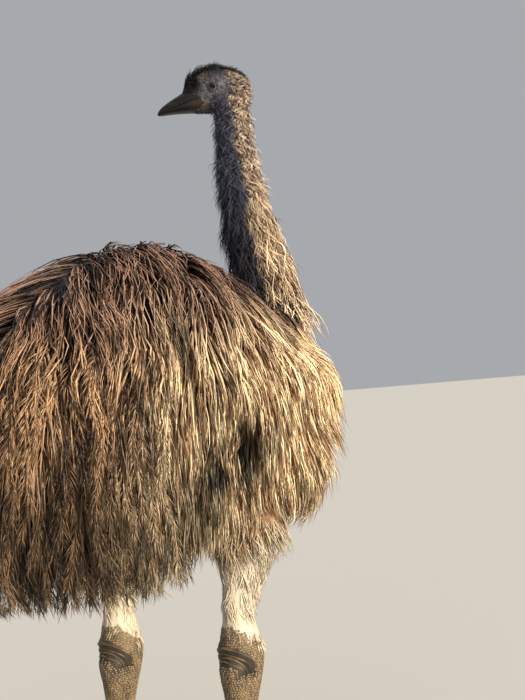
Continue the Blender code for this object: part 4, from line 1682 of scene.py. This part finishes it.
def capped(rings):
    """Points and triangles of a body through rings of equal count, closed by a point at either end."""
    count, sides, _ = rings.shape
    points = np.concatenate([rings.reshape(-1, 3), rings[:1].mean(axis=1), rings[-1:].mean(axis=1)])
    row, column = np.meshgrid(np.arange(count - 1), np.arange(sides), indexing="ij")
    here, right = row * sides + column, row * sides + (column + 1) % sides
    sheet = np.stack([here, right, right + sides, here, right + sides, here + sides], axis=-1).reshape(-1, 3)
    side = np.arange(sides)
    after = (side + 1) % sides
    first = np.stack([np.full(sides, count * sides), after, side], axis=1)
    last_row = (count - 1) * sides
    last = np.stack([np.full(sides, count * sides + 1), last_row + side, last_row + after], axis=1)
    return points, np.concatenate([sheet, first, last])


def facing_out(points, faces):
    """The same triangles, all turned round if the body they close is inside out."""
    corner = points[faces]
    volume = (corner[:, 0] * np.cross(corner[:, 1], corner[:, 2])).sum()
    return faces if volume > 0 else faces[:, ::-1]


def make_eyes():
    """Eyeballs: spheres on the eye's own axis with a slightly fuller cornea in front."""
    material = eye_material()
    tilt = np.linspace(0.02, math.pi - 0.02, 30)[:, None, None]
    turn = full_turn(40)[None, :, None]
    for name, side in SIDES:
        out, across, up = eye_axes(side)
        swing = np.cos(turn) * across + np.sin(turn) * up
        full = EYE_RADIUS * (1 + 0.035 * bell(tilt / 0.42))
        rings = EYES[name] + full * (np.cos(tilt) * out + np.sin(tilt) * swing)
        points, faces = capped(rings)
        eye = add_piece(f"eyeball_{name}", points, facing_out(points, faces), material)
        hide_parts(f"eye_{name}")


# The bill: forward of the skull, lowest, highest and half width, from inside the head to the tip.
BILL = (
    (0.0400, -0.0270, 0.0260, 0.0240),
    (0.0620, -0.0235, 0.0215, 0.0220),
    (0.0850, -0.0178, 0.0148, 0.0178),
    (0.1080, -0.0130, 0.0080, 0.0128),
    (0.1250, -0.0108, 0.0010, 0.0078),
    (0.1325, -0.0098, -0.0058, 0.0030),
)


def bill_rings(upper):
    """One half of the bill: arched sections that stand on the mouth line, with a flat inner face.

    The upper half has a raised culmen, a hollow each side of it with the nostril, and a drooping tip;
    the lower half is a shallow keel.
    """
    rows = smooth_rows(BILL, 44)
    ahead, lowest, highest, width = (rows[:, column, None] for column in range(4))
    turn = full_turn(48)[None, :]
    gape = MOUTH_UP - MOUTH_FALL * (ahead - 0.040) - 0.0020 * ease(0.075, 0.040, ahead)
    arch = np.clip(np.sin(turn), 0, 1)
    across = np.cos(turn) * np.abs(np.cos(turn)) ** -0.12
    if upper:
        crest = 0.0014 * bell(across / 0.24) * ease(0.045, 0.070, ahead) * ease(0.130, 0.115, ahead)
        groove = 0.0016 * bell((np.abs(across) - 0.62) / 0.20) * ease(0.120, 0.100, ahead)
        rise = (highest - gape) * arch**0.92 + (crest - groove * ease(0.05, 0.07, ahead)) * (arch > 0.15)
        nostril = np.exp(-((ahead - NOSTRIL[0]) / 0.0075) ** 2 - ((gape + rise - NOSTRIL[1]) / 0.0022) ** 2)
        inward = 1 - 0.30 * nostril * (arch > 0.1)
        height = gape + rise + 0.0002 - 0.0008 * (arch <= 0) * np.sin(-turn)
        side = width * across * inward
    else:
        drop = (gape - lowest) * arch**0.8
        height = gape - drop - 0.0003 + 0.0008 * (arch <= 0) * np.sin(-turn)
        side = (width - 0.0009) * across
        ahead = ahead - 0.0015 * ease(0.12, 0.1325, ahead)
    places = np.stack([ahead + 0 * side, height, side], axis=-1)
    return from_head(places)


def make_bill():
    """The upper and the lower half of the bill, each closed."""
    material = bill_material()
    for name, upper in (("bill_upper", True), ("bill_lower", False)):
        points, faces = capped(bill_rings(upper))
        bill = add_piece(f"{name}_horn", points, facing_out(points, faces), material)
        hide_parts(name)


TOE_SPREAD = math.radians(32)


def toe_frame(node, toe_side, side):
    """A toe's or claw's CAD points, the way it points, the way across it, and where its middle is across.

    A toe points straight ahead, or is fanned out to one side.
    """
    points, _, _ = read_mesh(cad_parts[node].data)
    angle = toe_side * side * TOE_SPREAD
    way = np.array((math.sin(angle), -math.cos(angle), 0.0))
    across = np.array((-way[1], way[0], 0.0))
    return points, way, across, (points @ across).mean()


def claw_rings(points, way, across, middle):
    """Round sections that shrink from the toe to the tip, on a line that bends to the ground."""
    along = points @ way
    base, tip = along.min() - 0.003, along.max()
    low, high = points[:, 2].min(), points[:, 2].max()
    share = np.linspace(0, 1, 16)[:, None]
    turn = full_turn(20)[None, :]
    half = (high - low) / 2 * (1 - 0.86 * share**1.5)
    drop = mix(high - (high - low) / 2, low + half, ease(0.1, 1.0, share))
    flat = 1 - 0.25 * (np.sin(turn) < -0.2)
    rings = (base + (tip - base) * share)[..., None] * way
    rings = rings + (middle + half * 0.84 * np.cos(turn))[..., None] * across
    return rings + (drop + half * np.sin(turn) * flat)[..., None] * np.array((0, 0, 1.0))


def make_claws():
    """Blunt curved claws, one at the tip of each toe."""
    material = claw_material()
    for side_name, side in SIDES:
        for toe, toe_side in TOES:
            node = f"claw_{toe}_{side_name}"
            points, faces = capped(claw_rings(*toe_frame(node, toe_side, side)))
            claw = add_piece(f"{node}_horn", points, facing_out(points, faces), material)
            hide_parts(node)


# ------------------------------------------------------------------ scales of the legs and toes


def skin_tree(skin):
    """The skin as a tree that rays can be tested against."""
    points, _, triangles = read_mesh(skin.data)
    return BVHTree.FromPolygons(points.tolist(), triangles.tolist())


def from_inside(tree, origins, directions):
    """Where rays from inside the skin meet it first, and its normals there."""
    found = [tree.ray_cast(Vector(a), Vector(b), 0.2) for a, b in zip(origins, directions)]
    hits = np.array([f[0] if f[0] else a for f, a in zip(found, origins)])
    normals = np.array([f[1] if f[0] else b for f, b in zip(found, directions)])
    met = np.array([f[0] is not None for f in found])
    return hits, normals, met


def plates(centres, normals, along, half_long, half_wide, rise):
    """Low domed six-sided scales: a sunk rim, a raised ring within it, and a crown point.

    Gives points, triangles, and each point's distance out from its plate's middle as a share.
    """
    along = unit(along - normals * (along * normals).sum(axis=1, keepdims=True))
    across = np.cross(normals, along)
    turn = full_turn(6)[None, :, None]
    long_way = along[:, None] * half_long[:, None, None]
    wide_way = across[:, None] * half_wide[:, None, None]
    circle = long_way * np.cos(turn) + wide_way * np.sin(turn)
    up = normals[:, None] * rise[:, None, None]
    rim = centres[:, None] + circle - up * 0.8
    ring = centres[:, None] + circle * 0.72 + up * 0.65
    crown = centres[:, None] + up
    under = centres[:, None] - up * 1.2
    points = np.concatenate([rim, ring, crown, under], axis=1)
    one = []
    for k in range(6):
        after = (k + 1) % 6
        one += [(k, after, 6 + after), (k, 6 + after, 6 + k), (6 + k, 6 + after, 12), (after, k, 13)]
    starts = np.arange(len(centres)) * 14
    faces = (np.array(one)[None] + starts[:, None, None]).reshape(-1, 3)
    share = np.tile(np.concatenate([np.ones(6), np.full(6, 0.6), [0.0, 0.0]]), len(centres))
    return points.reshape(-1, 3), faces, share


LEG_RADIUS = ((0.05, 0.027), (0.15, 0.020), (0.33, 0.026), (0.39, 0.037))  # up z
SCALE_PITCH = 0.0044
SHIN_PITCH = 0.0088
TOE_PITCH = 0.0066


def leg_scale_places(name, side):
    """Rows of small scales round ankle and shank, each row shifted by half a scale, and a little uneven."""
    rng = np.random.default_rng(500 + side)
    heights = np.arange(0.050, ANKLE_Z + 0.034, SCALE_PITCH * 0.86)
    origins, directions, sizes = [], [], []
    for row, height in enumerate(heights):
        x, y = leg_line(np.array([height]), name)[0]
        around = 2 * math.pi * read_off(LEG_RADIUS, height)
        count = max(int(around / SCALE_PITCH), 8)
        turn = (np.arange(count) + 0.5 * (row % 2)) / count * 2 * math.pi + rng.normal(0, 0.035, count)
        level_here = height + rng.normal(0, 0.0004, count)
        origins.append(np.stack([np.full(count, x), np.full(count, y), level_here], axis=1))
        directions.append(np.stack([np.sin(turn), np.cos(turn), np.zeros(count)], axis=1))
        sizes.append(SCALE_PITCH * rng.uniform(0.42, 0.56, count))
    return np.concatenate(origins), np.concatenate(directions), np.concatenate(sizes)


def small_scales(tree, name, side):
    """The small scales of a bare leg, left out where scutes, folds or down cover it."""
    origins, directions, sizes = leg_scale_places(name, side)
    hits, normals, met = from_inside(tree, origins, directions)
    turn = np.arctan2(directions[:, 0], directions[:, 1])
    front = np.abs(np.abs(turn) - math.pi) < 0.75
    shin = (hits[:, 2] < 0.345) & (hits[:, 2] > 0.060)
    feathered = hits[:, 2] > ANKLE_Z - 0.012 + HEEL_LIFT * heel_bareness(hits)
    heel = np.hypot(turn * 0.034, hits[:, 2] - HEEL_Z)
    folded = (heel > 0.018) & (heel < 0.045) & (hits[:, 2] > HEEL_Z)
    keep = met & ~(front & shin) & ~feathered & ~folded
    hits, normals, sizes = hits[keep], normals[keep], sizes[keep]
    up = np.tile((0.0, 0.0, 1.0), (len(hits), 1))
    return plates(hits, normals, up, sizes, sizes * 1.08, np.full(len(hits), 0.0007))


def make_scales(skin):
    """Small round scales all over the bare legs, broad scutes down the shins and over the toes."""
    tree = skin_tree(skin)
    material = scale_material()
    for name, side in SIDES:
        parts = [small_scales(tree, name, side), ankle_folds(tree, name)]
        parts += [scute_body(tree, *place) for place in shin_scutes(name)]
        parts += [scute_body(tree, *place) for place in toe_scutes(name, side)]
        starts = np.cumsum([0] + [len(part[0]) for part in parts[:-1]])
        points = np.concatenate([part[0] for part in parts])
        faces = np.concatenate([part[1] + start for part, start in zip(parts, starts)])
        piece = add_piece(f"scales_{name}", points, faces, material)
        add_values(piece, "edge", np.concatenate([part[2] for part in parts]))
        add_unwrap(piece, "OFBake", leg_scale_unwrap(points[faces], name).reshape(-1, 2))


def leg_scale_unwrap(corners_of_faces, name):
    """Each triangle at its own place: the angle round the leg and the height, or the foot seen from above."""
    flat = corners_of_faces.reshape(-1, 3)
    turn, _ = around_leg(flat, name)
    turn = turn.reshape(-1, 3)
    turn = np.where(turn - turn[:, :1] > math.pi, turn - 2 * math.pi, turn)
    turn = np.where(turn - turn[:, :1] < -math.pi, turn + 2 * math.pi, turn)
    height = flat[:, 2].reshape(-1, 3)
    side = np.clip(0.5 + turn / (2 * math.pi) * 0.96, 0.001, 0.999)
    return np.stack([side, np.clip(height / (ANKLE_Z + 0.05), 0.001, 0.999)], axis=-1)


def ankle_folds(tree, name):
    """Arched folds of slack skin over the heel: thick closed ridges on the skin, one outside the other."""
    arc = np.linspace(-1.75, 1.75, 26)
    lines, lifts = [], []
    for radius in (0.0222, 0.0270, 0.0332, 0.0412):
        turn = radius / 0.030 * np.sin(arc)
        height = HEEL_Z + radius * np.cos(arc) + 0.0016 * np.sin(arc * 3.1 + radius * 1700)
        ways = np.stack([np.sin(turn), np.cos(turn), np.zeros_like(turn)], axis=1)
        origins = np.concatenate([leg_line(height, name), height[:, None]], axis=1)
        hits, normals, _ = from_inside(tree, origins, ways)
        lines.append(hits)
        lifts.append(normals)
    lines, lifts = np.array(lines), np.array(lifts)
    thick = 0.0017 * np.sin(np.linspace(0.25, math.pi - 0.25, arc.size)) ** 0.6
    uneven = 1 + 0.35 * np.sin(arc[None, :] * 4.3 + np.arange(len(lines))[:, None] * 2.1)
    half = thick[None, :] * uneven * np.array((0.75, 1.0, 0.8, 1.05))[:, None]
    points, faces, _, share = strand_body(lines, lifts, half * 1.55, half * 1.25)
    return points, facing_out(points - points.mean(axis=0), faces), 0.62 + 0.6 * np.abs(share - 0.5)


def shin_scutes(name):
    """The places of the broad plates down the front of the bare leg."""
    for height in np.arange(0.064, 0.340, SHIN_PITCH):
        x, y = leg_line(np.array([height]), name)[0]
        middle = np.array((x, y, height))
        yield middle, np.array((0.0, -1.0, 0.0)), np.array((0.0, 0.0, -1.0)), 0.80, SHIN_PITCH * 0.56


def toe_scutes(name, side):
    """The places of the plates over each toe, from behind the claw back to the foot."""
    for toe, toe_side in TOES:
        points, way, across, middle = toe_frame(f"toe_{toe}_{name}", toe_side, side)
        along = points @ way
        for place in np.arange(along.min() + 0.012, along.max() - 0.004, TOE_PITCH):
            centre = way * place + across * middle + np.array((0.0, 0.0, 0.006))
            yield centre, np.array((0.0, 0.0, 1.0)), way, 1.05, TOE_PITCH * 0.58


def grid_faces(rows, columns):
    """Triangles of a sheet of rows by columns of points, doubled and walled into a closed slab."""
    row, column = np.meshgrid(np.arange(rows - 1), np.arange(columns - 1), indexing="ij")
    here = (row * columns + column).ravel()
    sheet = np.stack([here, here + 1, here + columns + 1, here, here + columns + 1, here + columns], axis=1)
    sheet = sheet.reshape(-1, 3)
    size = rows * columns
    edge = np.concatenate([
        np.arange(columns), np.arange(1, rows) * columns + columns - 1,
        (rows - 1) * columns + np.arange(columns - 2, -1, -1), np.arange(rows - 2, 0, -1) * columns,
    ])
    after = np.roll(edge, -1)
    upper_wall = np.stack([after, edge, edge + size], axis=1)
    lower_wall = np.stack([after, edge + size, after + size], axis=1)
    return np.concatenate([sheet, sheet[:, ::-1] + size, upper_wall, lower_wall])


def scute_body(tree, middle, face, down, half_arc, half_long):
    """One closed plate bent over a limb, from rays that fan out of the limb's middle.

    face is the way its middle looks, down the way it lies; its lower edge stands proud and its rim is sunk.
    """
    fan = np.linspace(-half_arc, half_arc, 9)
    steps = np.array((-1.0, -0.55, 0.0, 0.6, 0.92, 1.05))
    rises = np.array((-0.0006, 0.0003, 0.0006, 0.0010, 0.0009, -0.0006))
    across = np.cross(down, face)
    turn, step = np.meshgrid(fan, steps, indexing="xy")
    fade = np.sqrt(np.clip(1 - (turn / half_arc) ** 4, 0, 1))
    origins = middle + (step * fade * half_long)[..., None] * down
    ways = np.cos(turn)[..., None] * face + np.sin(turn)[..., None] * across
    hits, normals, _ = from_inside(tree, origins.reshape(-1, 3), ways.reshape(-1, 3))
    rise = (rises[:, None] * np.ones_like(turn) - 0.0012 * (np.abs(turn) / half_arc) ** 6).reshape(-1, 1)
    points = np.concatenate([hits + normals * rise, hits - normals * 0.0012])
    faces = facing_out(points - points.mean(axis=0), grid_faces(*turn.shape))
    share = np.tile(np.repeat(np.abs(steps), len(fan)), 2)
    return points, faces, np.clip(share, 0, 1)


# ------------------------------------------------------------------ plumes of the rump


BARB_HALF_WIDTH = 0.00062
BARB_ALONG = 0.8  # a barb is coloured as this place along its shaft


def rump_region(centres):
    """Rump and hind flanks, clear of the hollow and of the hem."""
    _, y, z = centres.T
    return ease(0.06, 0.20, y) * ease(0.98, 0.90, z) * (z > HEM_Z + 0.06) * (hollow(centres) < 0.1)


def make_plumes(skin, sizes):
    """Loose barbed plumes over rump and hind flanks: a shaft each, with pairs of barbs to its tip."""
    material = plumage_material()
    plumes = fewer(sizes.plumes)
    rng = np.random.default_rng(600)
    roots, _ = rooted(skin, rump_region, plumes, rng)
    roots = unsettled(roots)
    side = np.sign(roots[:, 0])
    length = rng.uniform(0.16, 0.26, plumes)
    length = np.minimum(length, np.maximum(roots[:, 2] - HEM_Z - rng.random(plumes) ** 2 * 0.04, 0.09))
    tips = 1.006 - 0.02 * rng.random(plumes)
    lines, lifts = guide_lines(roots, length, tips, side)
    along = unit(np.gradient(lines, axis=1))
    across = unit(np.cross(along, lifts))
    share = np.linspace(0, 1, STATIONS)[None, :]
    sway = np.sin(rng.random((plumes, 1)) * 6.28 + share * rng.uniform(2, 5, (plumes, 1)))
    lines = lines + across * (sway * share * 0.014)[..., None]
    lines = lines + settle_shift(lines)
    half = 0.0011 * taper(share) * rng.uniform(0.8, 1.2, (plumes, 1))
    barbs = plume_barbs(lines, lifts, rng, sizes.barb_pairs)
    add_plumes("rump_plumes", (lines, lifts, half), barbs, body_unwrap(roots), rng.random(plumes), material)


def plume_barbs(lines, lifts, rng, pairs):
    """Pairs of barbs along each shaft, which slope forward off it and shorten to its tip."""
    plumes = len(lines)
    share = np.linspace(0.22, 0.985, pairs)[None, :] + rng.normal(0, 0.005, (plumes, pairs))
    share = np.clip(np.repeat(share, 2, axis=1), 0, 1)
    foot, lift = resample(lines, share), unit(resample(lifts, share))
    along = unit(resample(np.gradient(lines, axis=1), share))
    side = unit(np.cross(along, lift)) * np.tile((1.0, -1.0), pairs)[None, :, None]
    size = (0.032 - 0.016 * share**2) * rng.uniform(0.45, 1.2, share.shape)
    angle = rng.normal(0.42, 0.17, share.shape)
    way = along * np.cos(angle)[..., None] + side * np.sin(angle)[..., None]
    tilt = rng.normal(0.05, 0.16, (plumes, 1)) + rng.normal(0, 0.12, share.shape)
    way = unit(way + lift * tilt[..., None])
    bend = along * 0.30 + np.array((0.0, 0.0, -0.12))
    steps = np.array((0.0, 0.45, 1.0))[None, None, :, None]
    barb = foot[:, :, None] + (way[:, :, None] * steps + bend[:, :, None] * steps**2) * size[..., None, None]
    return barb, np.repeat(lift[:, :, None], 3, axis=2)


def add_plumes(name, shafts, barbs, roots_uv, tone, material):
    """Shafts and barbs as one piece, every strand of a plume on the same patch of the unwrap."""
    lines, lifts, half = shafts
    barb, barb_lift = barbs
    each = barb.shape[1]
    shaft = strand_body(lines, lifts, half, half)
    flat = barb.reshape(-1, 3, 3)
    wide = np.full((len(flat), 3), BARB_HALF_WIDTH)
    hairs = strand_body(flat, barb_lift.reshape(-1, 3, 3), wide, wide)
    points = np.concatenate([shaft[0], hairs[0]])
    faces = np.concatenate([shaft[1], hairs[1] + len(shaft[0])])
    piece = add_piece(name, points, faces, material)
    spread = roots_uv.min(axis=0), roots_uv.max(axis=0)
    owners = np.repeat(roots_uv, each, axis=0)
    patches = [
        unwrap_places(roots_uv, spread, lines.shape[1], shaft[2]),
        unwrap_places(owners, spread, 3, hairs[2]),
    ]
    add_unwrap(piece, "OFBake", np.concatenate(patches))
    add_values(piece, "along", np.concatenate([shaft[3], np.full(len(hairs[0]), BARB_ALONG)]))
    own_tone = np.random.default_rng(601).random(len(flat))
    barb_tone = np.clip(np.repeat(tone, each) * 0.6 + 0.5 * own_tone, 0, 1)
    add_values(piece, "tone", np.concatenate([
        np.repeat(tone, len(shaft[0]) // len(lines)), np.repeat(barb_tone, len(hairs[0]) // len(flat)),
    ]))


# ------------------------------------------------------------------ stage


FLOOR_REACH = 40.0
LOOK = Vector((0.6018, -0.7986, math.tan(math.radians(2.13)))).normalized()  # the way the camera looks
RIGHT = LOOK.cross(Vector((0, 0, 1))).normalized()
CAMERA_PLACE = (-1.034, 1.031, 0.84)
CAMERA_ROLL = math.radians(5.5)
SENSOR_WIDTH = 36.0  # millimetres, as the lens
LENS = 45.26


def make_floor():
    """A plain pale floor under the bird, which reaches out of every view."""
    mesh = bpy.data.meshes.new("floor")
    around = ((-1, -1), (1, -1), (1, 1), (-1, 1))
    mesh.from_pydata([(x * FLOOR_REACH, y * FLOOR_REACH, 0) for x, y in around], [], [(0, 1, 2, 3)])
    floor = new_object("floor", mesh)
    material, _, surface = new_material("floor")
    surface.inputs["Base Color"].default_value = linear(196, 194, 190)
    surface.inputs["Roughness"].default_value = 0.8
    mesh.materials.append(material)
    floor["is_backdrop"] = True


def make_world():
    """An even, faintly cool light from all round."""
    world = bpy.data.worlds.new("studio")
    world.use_nodes = True
    background = world.node_tree.nodes["Background"]
    background.inputs["Color"].default_value = (0.92, 0.95, 1.0, 1.0)
    background.inputs["Strength"].default_value = 0.42
    bpy.context.scene.world = world


def make_camera(up):
    """The camera, a little turned about its own axis."""
    data = bpy.data.cameras.new("camera")
    data.sensor_width = SENSOR_WIDTH
    data.lens = LENS
    camera = new_object("camera", data)
    top = up * math.cos(CAMERA_ROLL) + RIGHT * math.sin(CAMERA_ROLL)
    side = RIGHT * math.cos(CAMERA_ROLL) - up * math.sin(CAMERA_ROLL)
    turn = Matrix((side, top, -LOOK)).transposed()
    camera.matrix_world = Matrix.Translation(CAMERA_PLACE) @ turn.to_4x4()
    bpy.context.scene.camera = camera


def make_stage():
    """A plain pale floor, a warm soft key from the bird's right, a broad cool fill, and the camera."""
    make_floor()
    add_sun("key", RIGHT * 0.74 + Vector((0, 0, 0.38)) - LOOK * 0.64, 7.0, 6.9, (1.0, 0.88, 0.70))
    add_sun("fill", RIGHT * 0.1 + Vector((0, 0, 0.9)) - LOOK * 0.9, 60.0, 0.5, (0.86, 0.92, 1.0))
    make_world()
    make_camera(RIGHT.cross(LOOK))
    bpy.context.scene.view_settings.view_transform = "Standard"


def add_sun(name, towards, softness, strength, colour):
    """A lamp as wide as a softbox seen from the bird, so far off that the whole floor is lit alike."""
    data = bpy.data.lights.new(name, "SUN")
    data.angle = math.radians(softness)
    data.energy = strength
    data.color = colour
    lamp = new_object(name, data)
    lamp.rotation_euler = (-towards).to_track_quat("-Z", "Y").to_euler()


# ------------------------------------------------------------------ add-on


class EmuSizes(bpy.types.PropertyGroup):
    """How many feathers there are, and how long and wide they are."""

    locks: IntProperty(name="Locks", description="Locks in each of the body's five parts", default=1000)
    strands_each: IntProperty(name="Strands in a lock", description="Strands that make up a lock", default=7)
    lock_spread: FloatProperty(
        name="Lock spread", description="Half width of a lock at its root", default=0.010, unit="LENGTH"
    )
    strand_width: FloatProperty(
        name="Strand width", description="A body strand's width at its fullest", default=0.0038, unit="LENGTH"
    )
    back_length: FloatProperty(
        name="Back feathers", description="Length of feathers along the spine", default=0.19, unit="LENGTH"
    )
    flank_length: FloatProperty(
        name="Flank feathers", description="Length of feathers on the flanks", default=0.17, unit="LENGTH"
    )
    rump_length: FloatProperty(
        name="Rump feathers", description="Length of feathers on the rump", default=0.21, unit="LENGTH"
    )
    breast_length: FloatProperty(
        name="Breast feathers", description="Length of feathers on the breast", default=0.12, unit="LENGTH"
    )
    plumes: IntProperty(name="Plumes", description="Barbed plumes over the rump", default=320)
    barb_pairs: IntProperty(name="Barb pairs", description="Pairs of barbs on each plume", default=38)
    neck_feathers: IntProperty(
        name="Neck feathers", description="Drooping feathers at the foot of the neck", default=4800
    )
    neck_hairs: IntProperty(name="Neck hairs", description="Hair-like feathers up the neck", default=12500)
    head_hairs: IntProperty(name="Head hairs", description="Bristles on the head", default=9000)
    shank_feathers: IntProperty(
        name="Shank feathers", description="Short feathers on the two shanks", default=7200
    )


def colour_property(name, description, red, green, blue):
    """A colour field whose default is given from 0 to 255."""
    default = linear(red, green, blue)
    return FloatVectorProperty(
        name=name, description=description, subtype="COLOR", size=4, min=0, max=1, default=default
    )


class EmuColours(bpy.types.PropertyGroup):
    """The dark and the light colour of each region, between which its feathers vary."""

    back_dark: colour_property("Back, dark", "Shaded feathers of the back", 30, 19, 16)
    back_light: colour_property("Back, light", "Bleached feathers of the back", 166, 130, 112)
    flank_dark: colour_property("Flank, dark", "Shaded feathers of flank and breast", 142, 98, 62)
    flank_light: colour_property("Flank, light", "Bleached feathers of flank and breast", 255, 234, 192)
    rump_dark: colour_property("Rump, dark", "Shaded feathers of the rump", 56, 38, 27)
    rump_light: colour_property("Rump, light", "Bleached feathers of the rump", 206, 166, 128)
    neck_dark: colour_property("Neck, dark", "Shaded feathers of the lower neck", 70, 48, 38)
    neck_light: colour_property("Neck, light", "Bleached feathers of the lower neck", 255, 228, 192)
    nape_dark: colour_property("Nape, dark", "Dark hair-like feathers of nape and cheeks", 62, 50, 46)
    nape_light: colour_property("Nape, light", "Pale hair-like feathers of nape and cheeks", 255, 230, 206)
    crown_dark: colour_property("Crown, dark", "Bristles of crown and brow", 7, 6, 10)
    crown_light: colour_property("Crown, light", "Lit bristles of crown and brow", 34, 31, 41)
    face: colour_property("Face", "Bare skin of the face", 92, 88, 94)
    face_shade: colour_property("Face, shade", "Bluer bare skin of the face", 66, 68, 84)
    shank: colour_property("Shanks", "Down of the shanks", 212, 199, 176)
    scales: colour_property("Scales", "Bare scaly legs and feet", 104, 86, 60)


class EMU_OT_skin(bpy.types.Operator):
    """Makes the skin that replaces the CAD nodes of flesh."""

    bl_idname = "emu.skin"
    bl_label = "Skin"

    def execute(self, context):
        make_skin()
        return {"FINISHED"}


class EMU_OT_plumage(bpy.types.Operator):
    """Covers the trunk with hanging strands."""

    bl_idname = "emu.plumage"
    bl_label = "Plumage"

    def execute(self, context):
        make_plumage(bpy.data.objects["skin"], context.scene.emu_sizes)
        return {"FINISHED"}


class EMU_OT_neck(bpy.types.Operator):
    """Feathers the neck."""

    bl_idname = "emu.neck"
    bl_label = "Neck feathers"

    def execute(self, context):
        make_neck(bpy.data.objects["skin"], context.scene.emu_sizes)
        return {"FINISHED"}


class EMU_OT_head_hair(bpy.types.Operator):
    """Sets the bristles of crown, nape and cheeks."""

    bl_idname = "emu.head_hair"
    bl_label = "Head bristles"

    def execute(self, context):
        make_head_hair(bpy.data.objects["skin"], context.scene.emu_sizes)
        return {"FINISHED"}


class EMU_OT_shank_down(bpy.types.Operator):
    """Covers both shanks with short pale feathers."""

    bl_idname = "emu.shank_down"
    bl_label = "Shank down"

    def execute(self, context):
        make_shank_down(bpy.data.objects["skin"], context.scene.emu_sizes)
        return {"FINISHED"}


class EMU_OT_eyes(bpy.types.Operator):
    """Sets the two eyeballs in their lids."""

    bl_idname = "emu.eyes"
    bl_label = "Eyes"

    def execute(self, context):
        make_eyes()
        return {"FINISHED"}


class EMU_OT_bill(bpy.types.Operator):
    """Makes the upper and the lower half of the bill."""

    bl_idname = "emu.bill"
    bl_label = "Bill"

    def execute(self, context):
        make_bill()
        return {"FINISHED"}


class EMU_OT_claws(bpy.types.Operator):
    """Makes the six claws."""

    bl_idname = "emu.claws"
    bl_label = "Claws"

    def execute(self, context):
        make_claws()
        return {"FINISHED"}


class EMU_OT_scales(bpy.types.Operator):
    """Covers the bare legs and toes with scales."""

    bl_idname = "emu.scales"
    bl_label = "Scales"

    def execute(self, context):
        make_scales(bpy.data.objects["skin"])
        return {"FINISHED"}


class EMU_OT_plumes(bpy.types.Operator):
    """Lays loose barbed plumes over rump and flanks."""

    bl_idname = "emu.plumes"
    bl_label = "Plumes"

    def execute(self, context):
        make_plumes(bpy.data.objects["skin"], context.scene.emu_sizes)
        return {"FINISHED"}


class EMU_OT_stage(bpy.types.Operator):
    """Adds the floor, the lights and the camera."""

    bl_idname = "emu.stage"
    bl_label = "Stage"

    def execute(self, context):
        make_stage()
        return {"FINISHED"}


OPERATORS = (
    EMU_OT_skin, EMU_OT_eyes, EMU_OT_bill, EMU_OT_claws, EMU_OT_scales, EMU_OT_plumage,
    EMU_OT_plumes, EMU_OT_neck, EMU_OT_head_hair, EMU_OT_shank_down, EMU_OT_stage,
)


class EMU_PT_panel(bpy.types.Panel):
    """The steps that make the emu, in order."""

    bl_idname = "EMU_PT_panel"
    bl_label = "Emu"
    bl_space_type = "VIEW_3D"
    bl_region_type = "UI"
    bl_category = "Emu"

    def draw(self, context):
        for operator in OPERATORS:
            self.layout.operator(operator.bl_idname)


CLASSES = (EmuColours, EmuSizes, *OPERATORS, EMU_PT_panel)


def register():
    """Registers every class, and hangs the two groups of fields on the scene."""
    for cls in CLASSES:
        bpy.utils.register_class(cls)
    bpy.types.Scene.emu_sizes = PointerProperty(type=EmuSizes)
    bpy.types.Scene.emu_colours = PointerProperty(type=EmuColours)


def unregister():
    """Undoes what register did."""
    del bpy.types.Scene.emu_colours
    del bpy.types.Scene.emu_sizes
    for cls in reversed(CLASSES):
        bpy.utils.unregister_class(cls)


def main():
    """Makes the bird by its operators, and works out the boxes of the CAD nodes and of the finished bird."""
    register()
    bpy.ops.emu.skin()
    bpy.ops.emu.eyes()
    bpy.ops.emu.bill()
    bpy.ops.emu.claws()
    bpy.ops.emu.scales()
    bpy.ops.emu.plumage()
    bpy.ops.emu.plumes()
    bpy.ops.emu.neck()
    bpy.ops.emu.head_hair()
    bpy.ops.emu.shank_down()
    bpy.ops.emu.stage()
    boxes = {"cad": CAD_BOX, "visual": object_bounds()}
    {name: [list(corner) for corner in box] for name, box in boxes.items()}


if __name__ == "__main__":
    main()
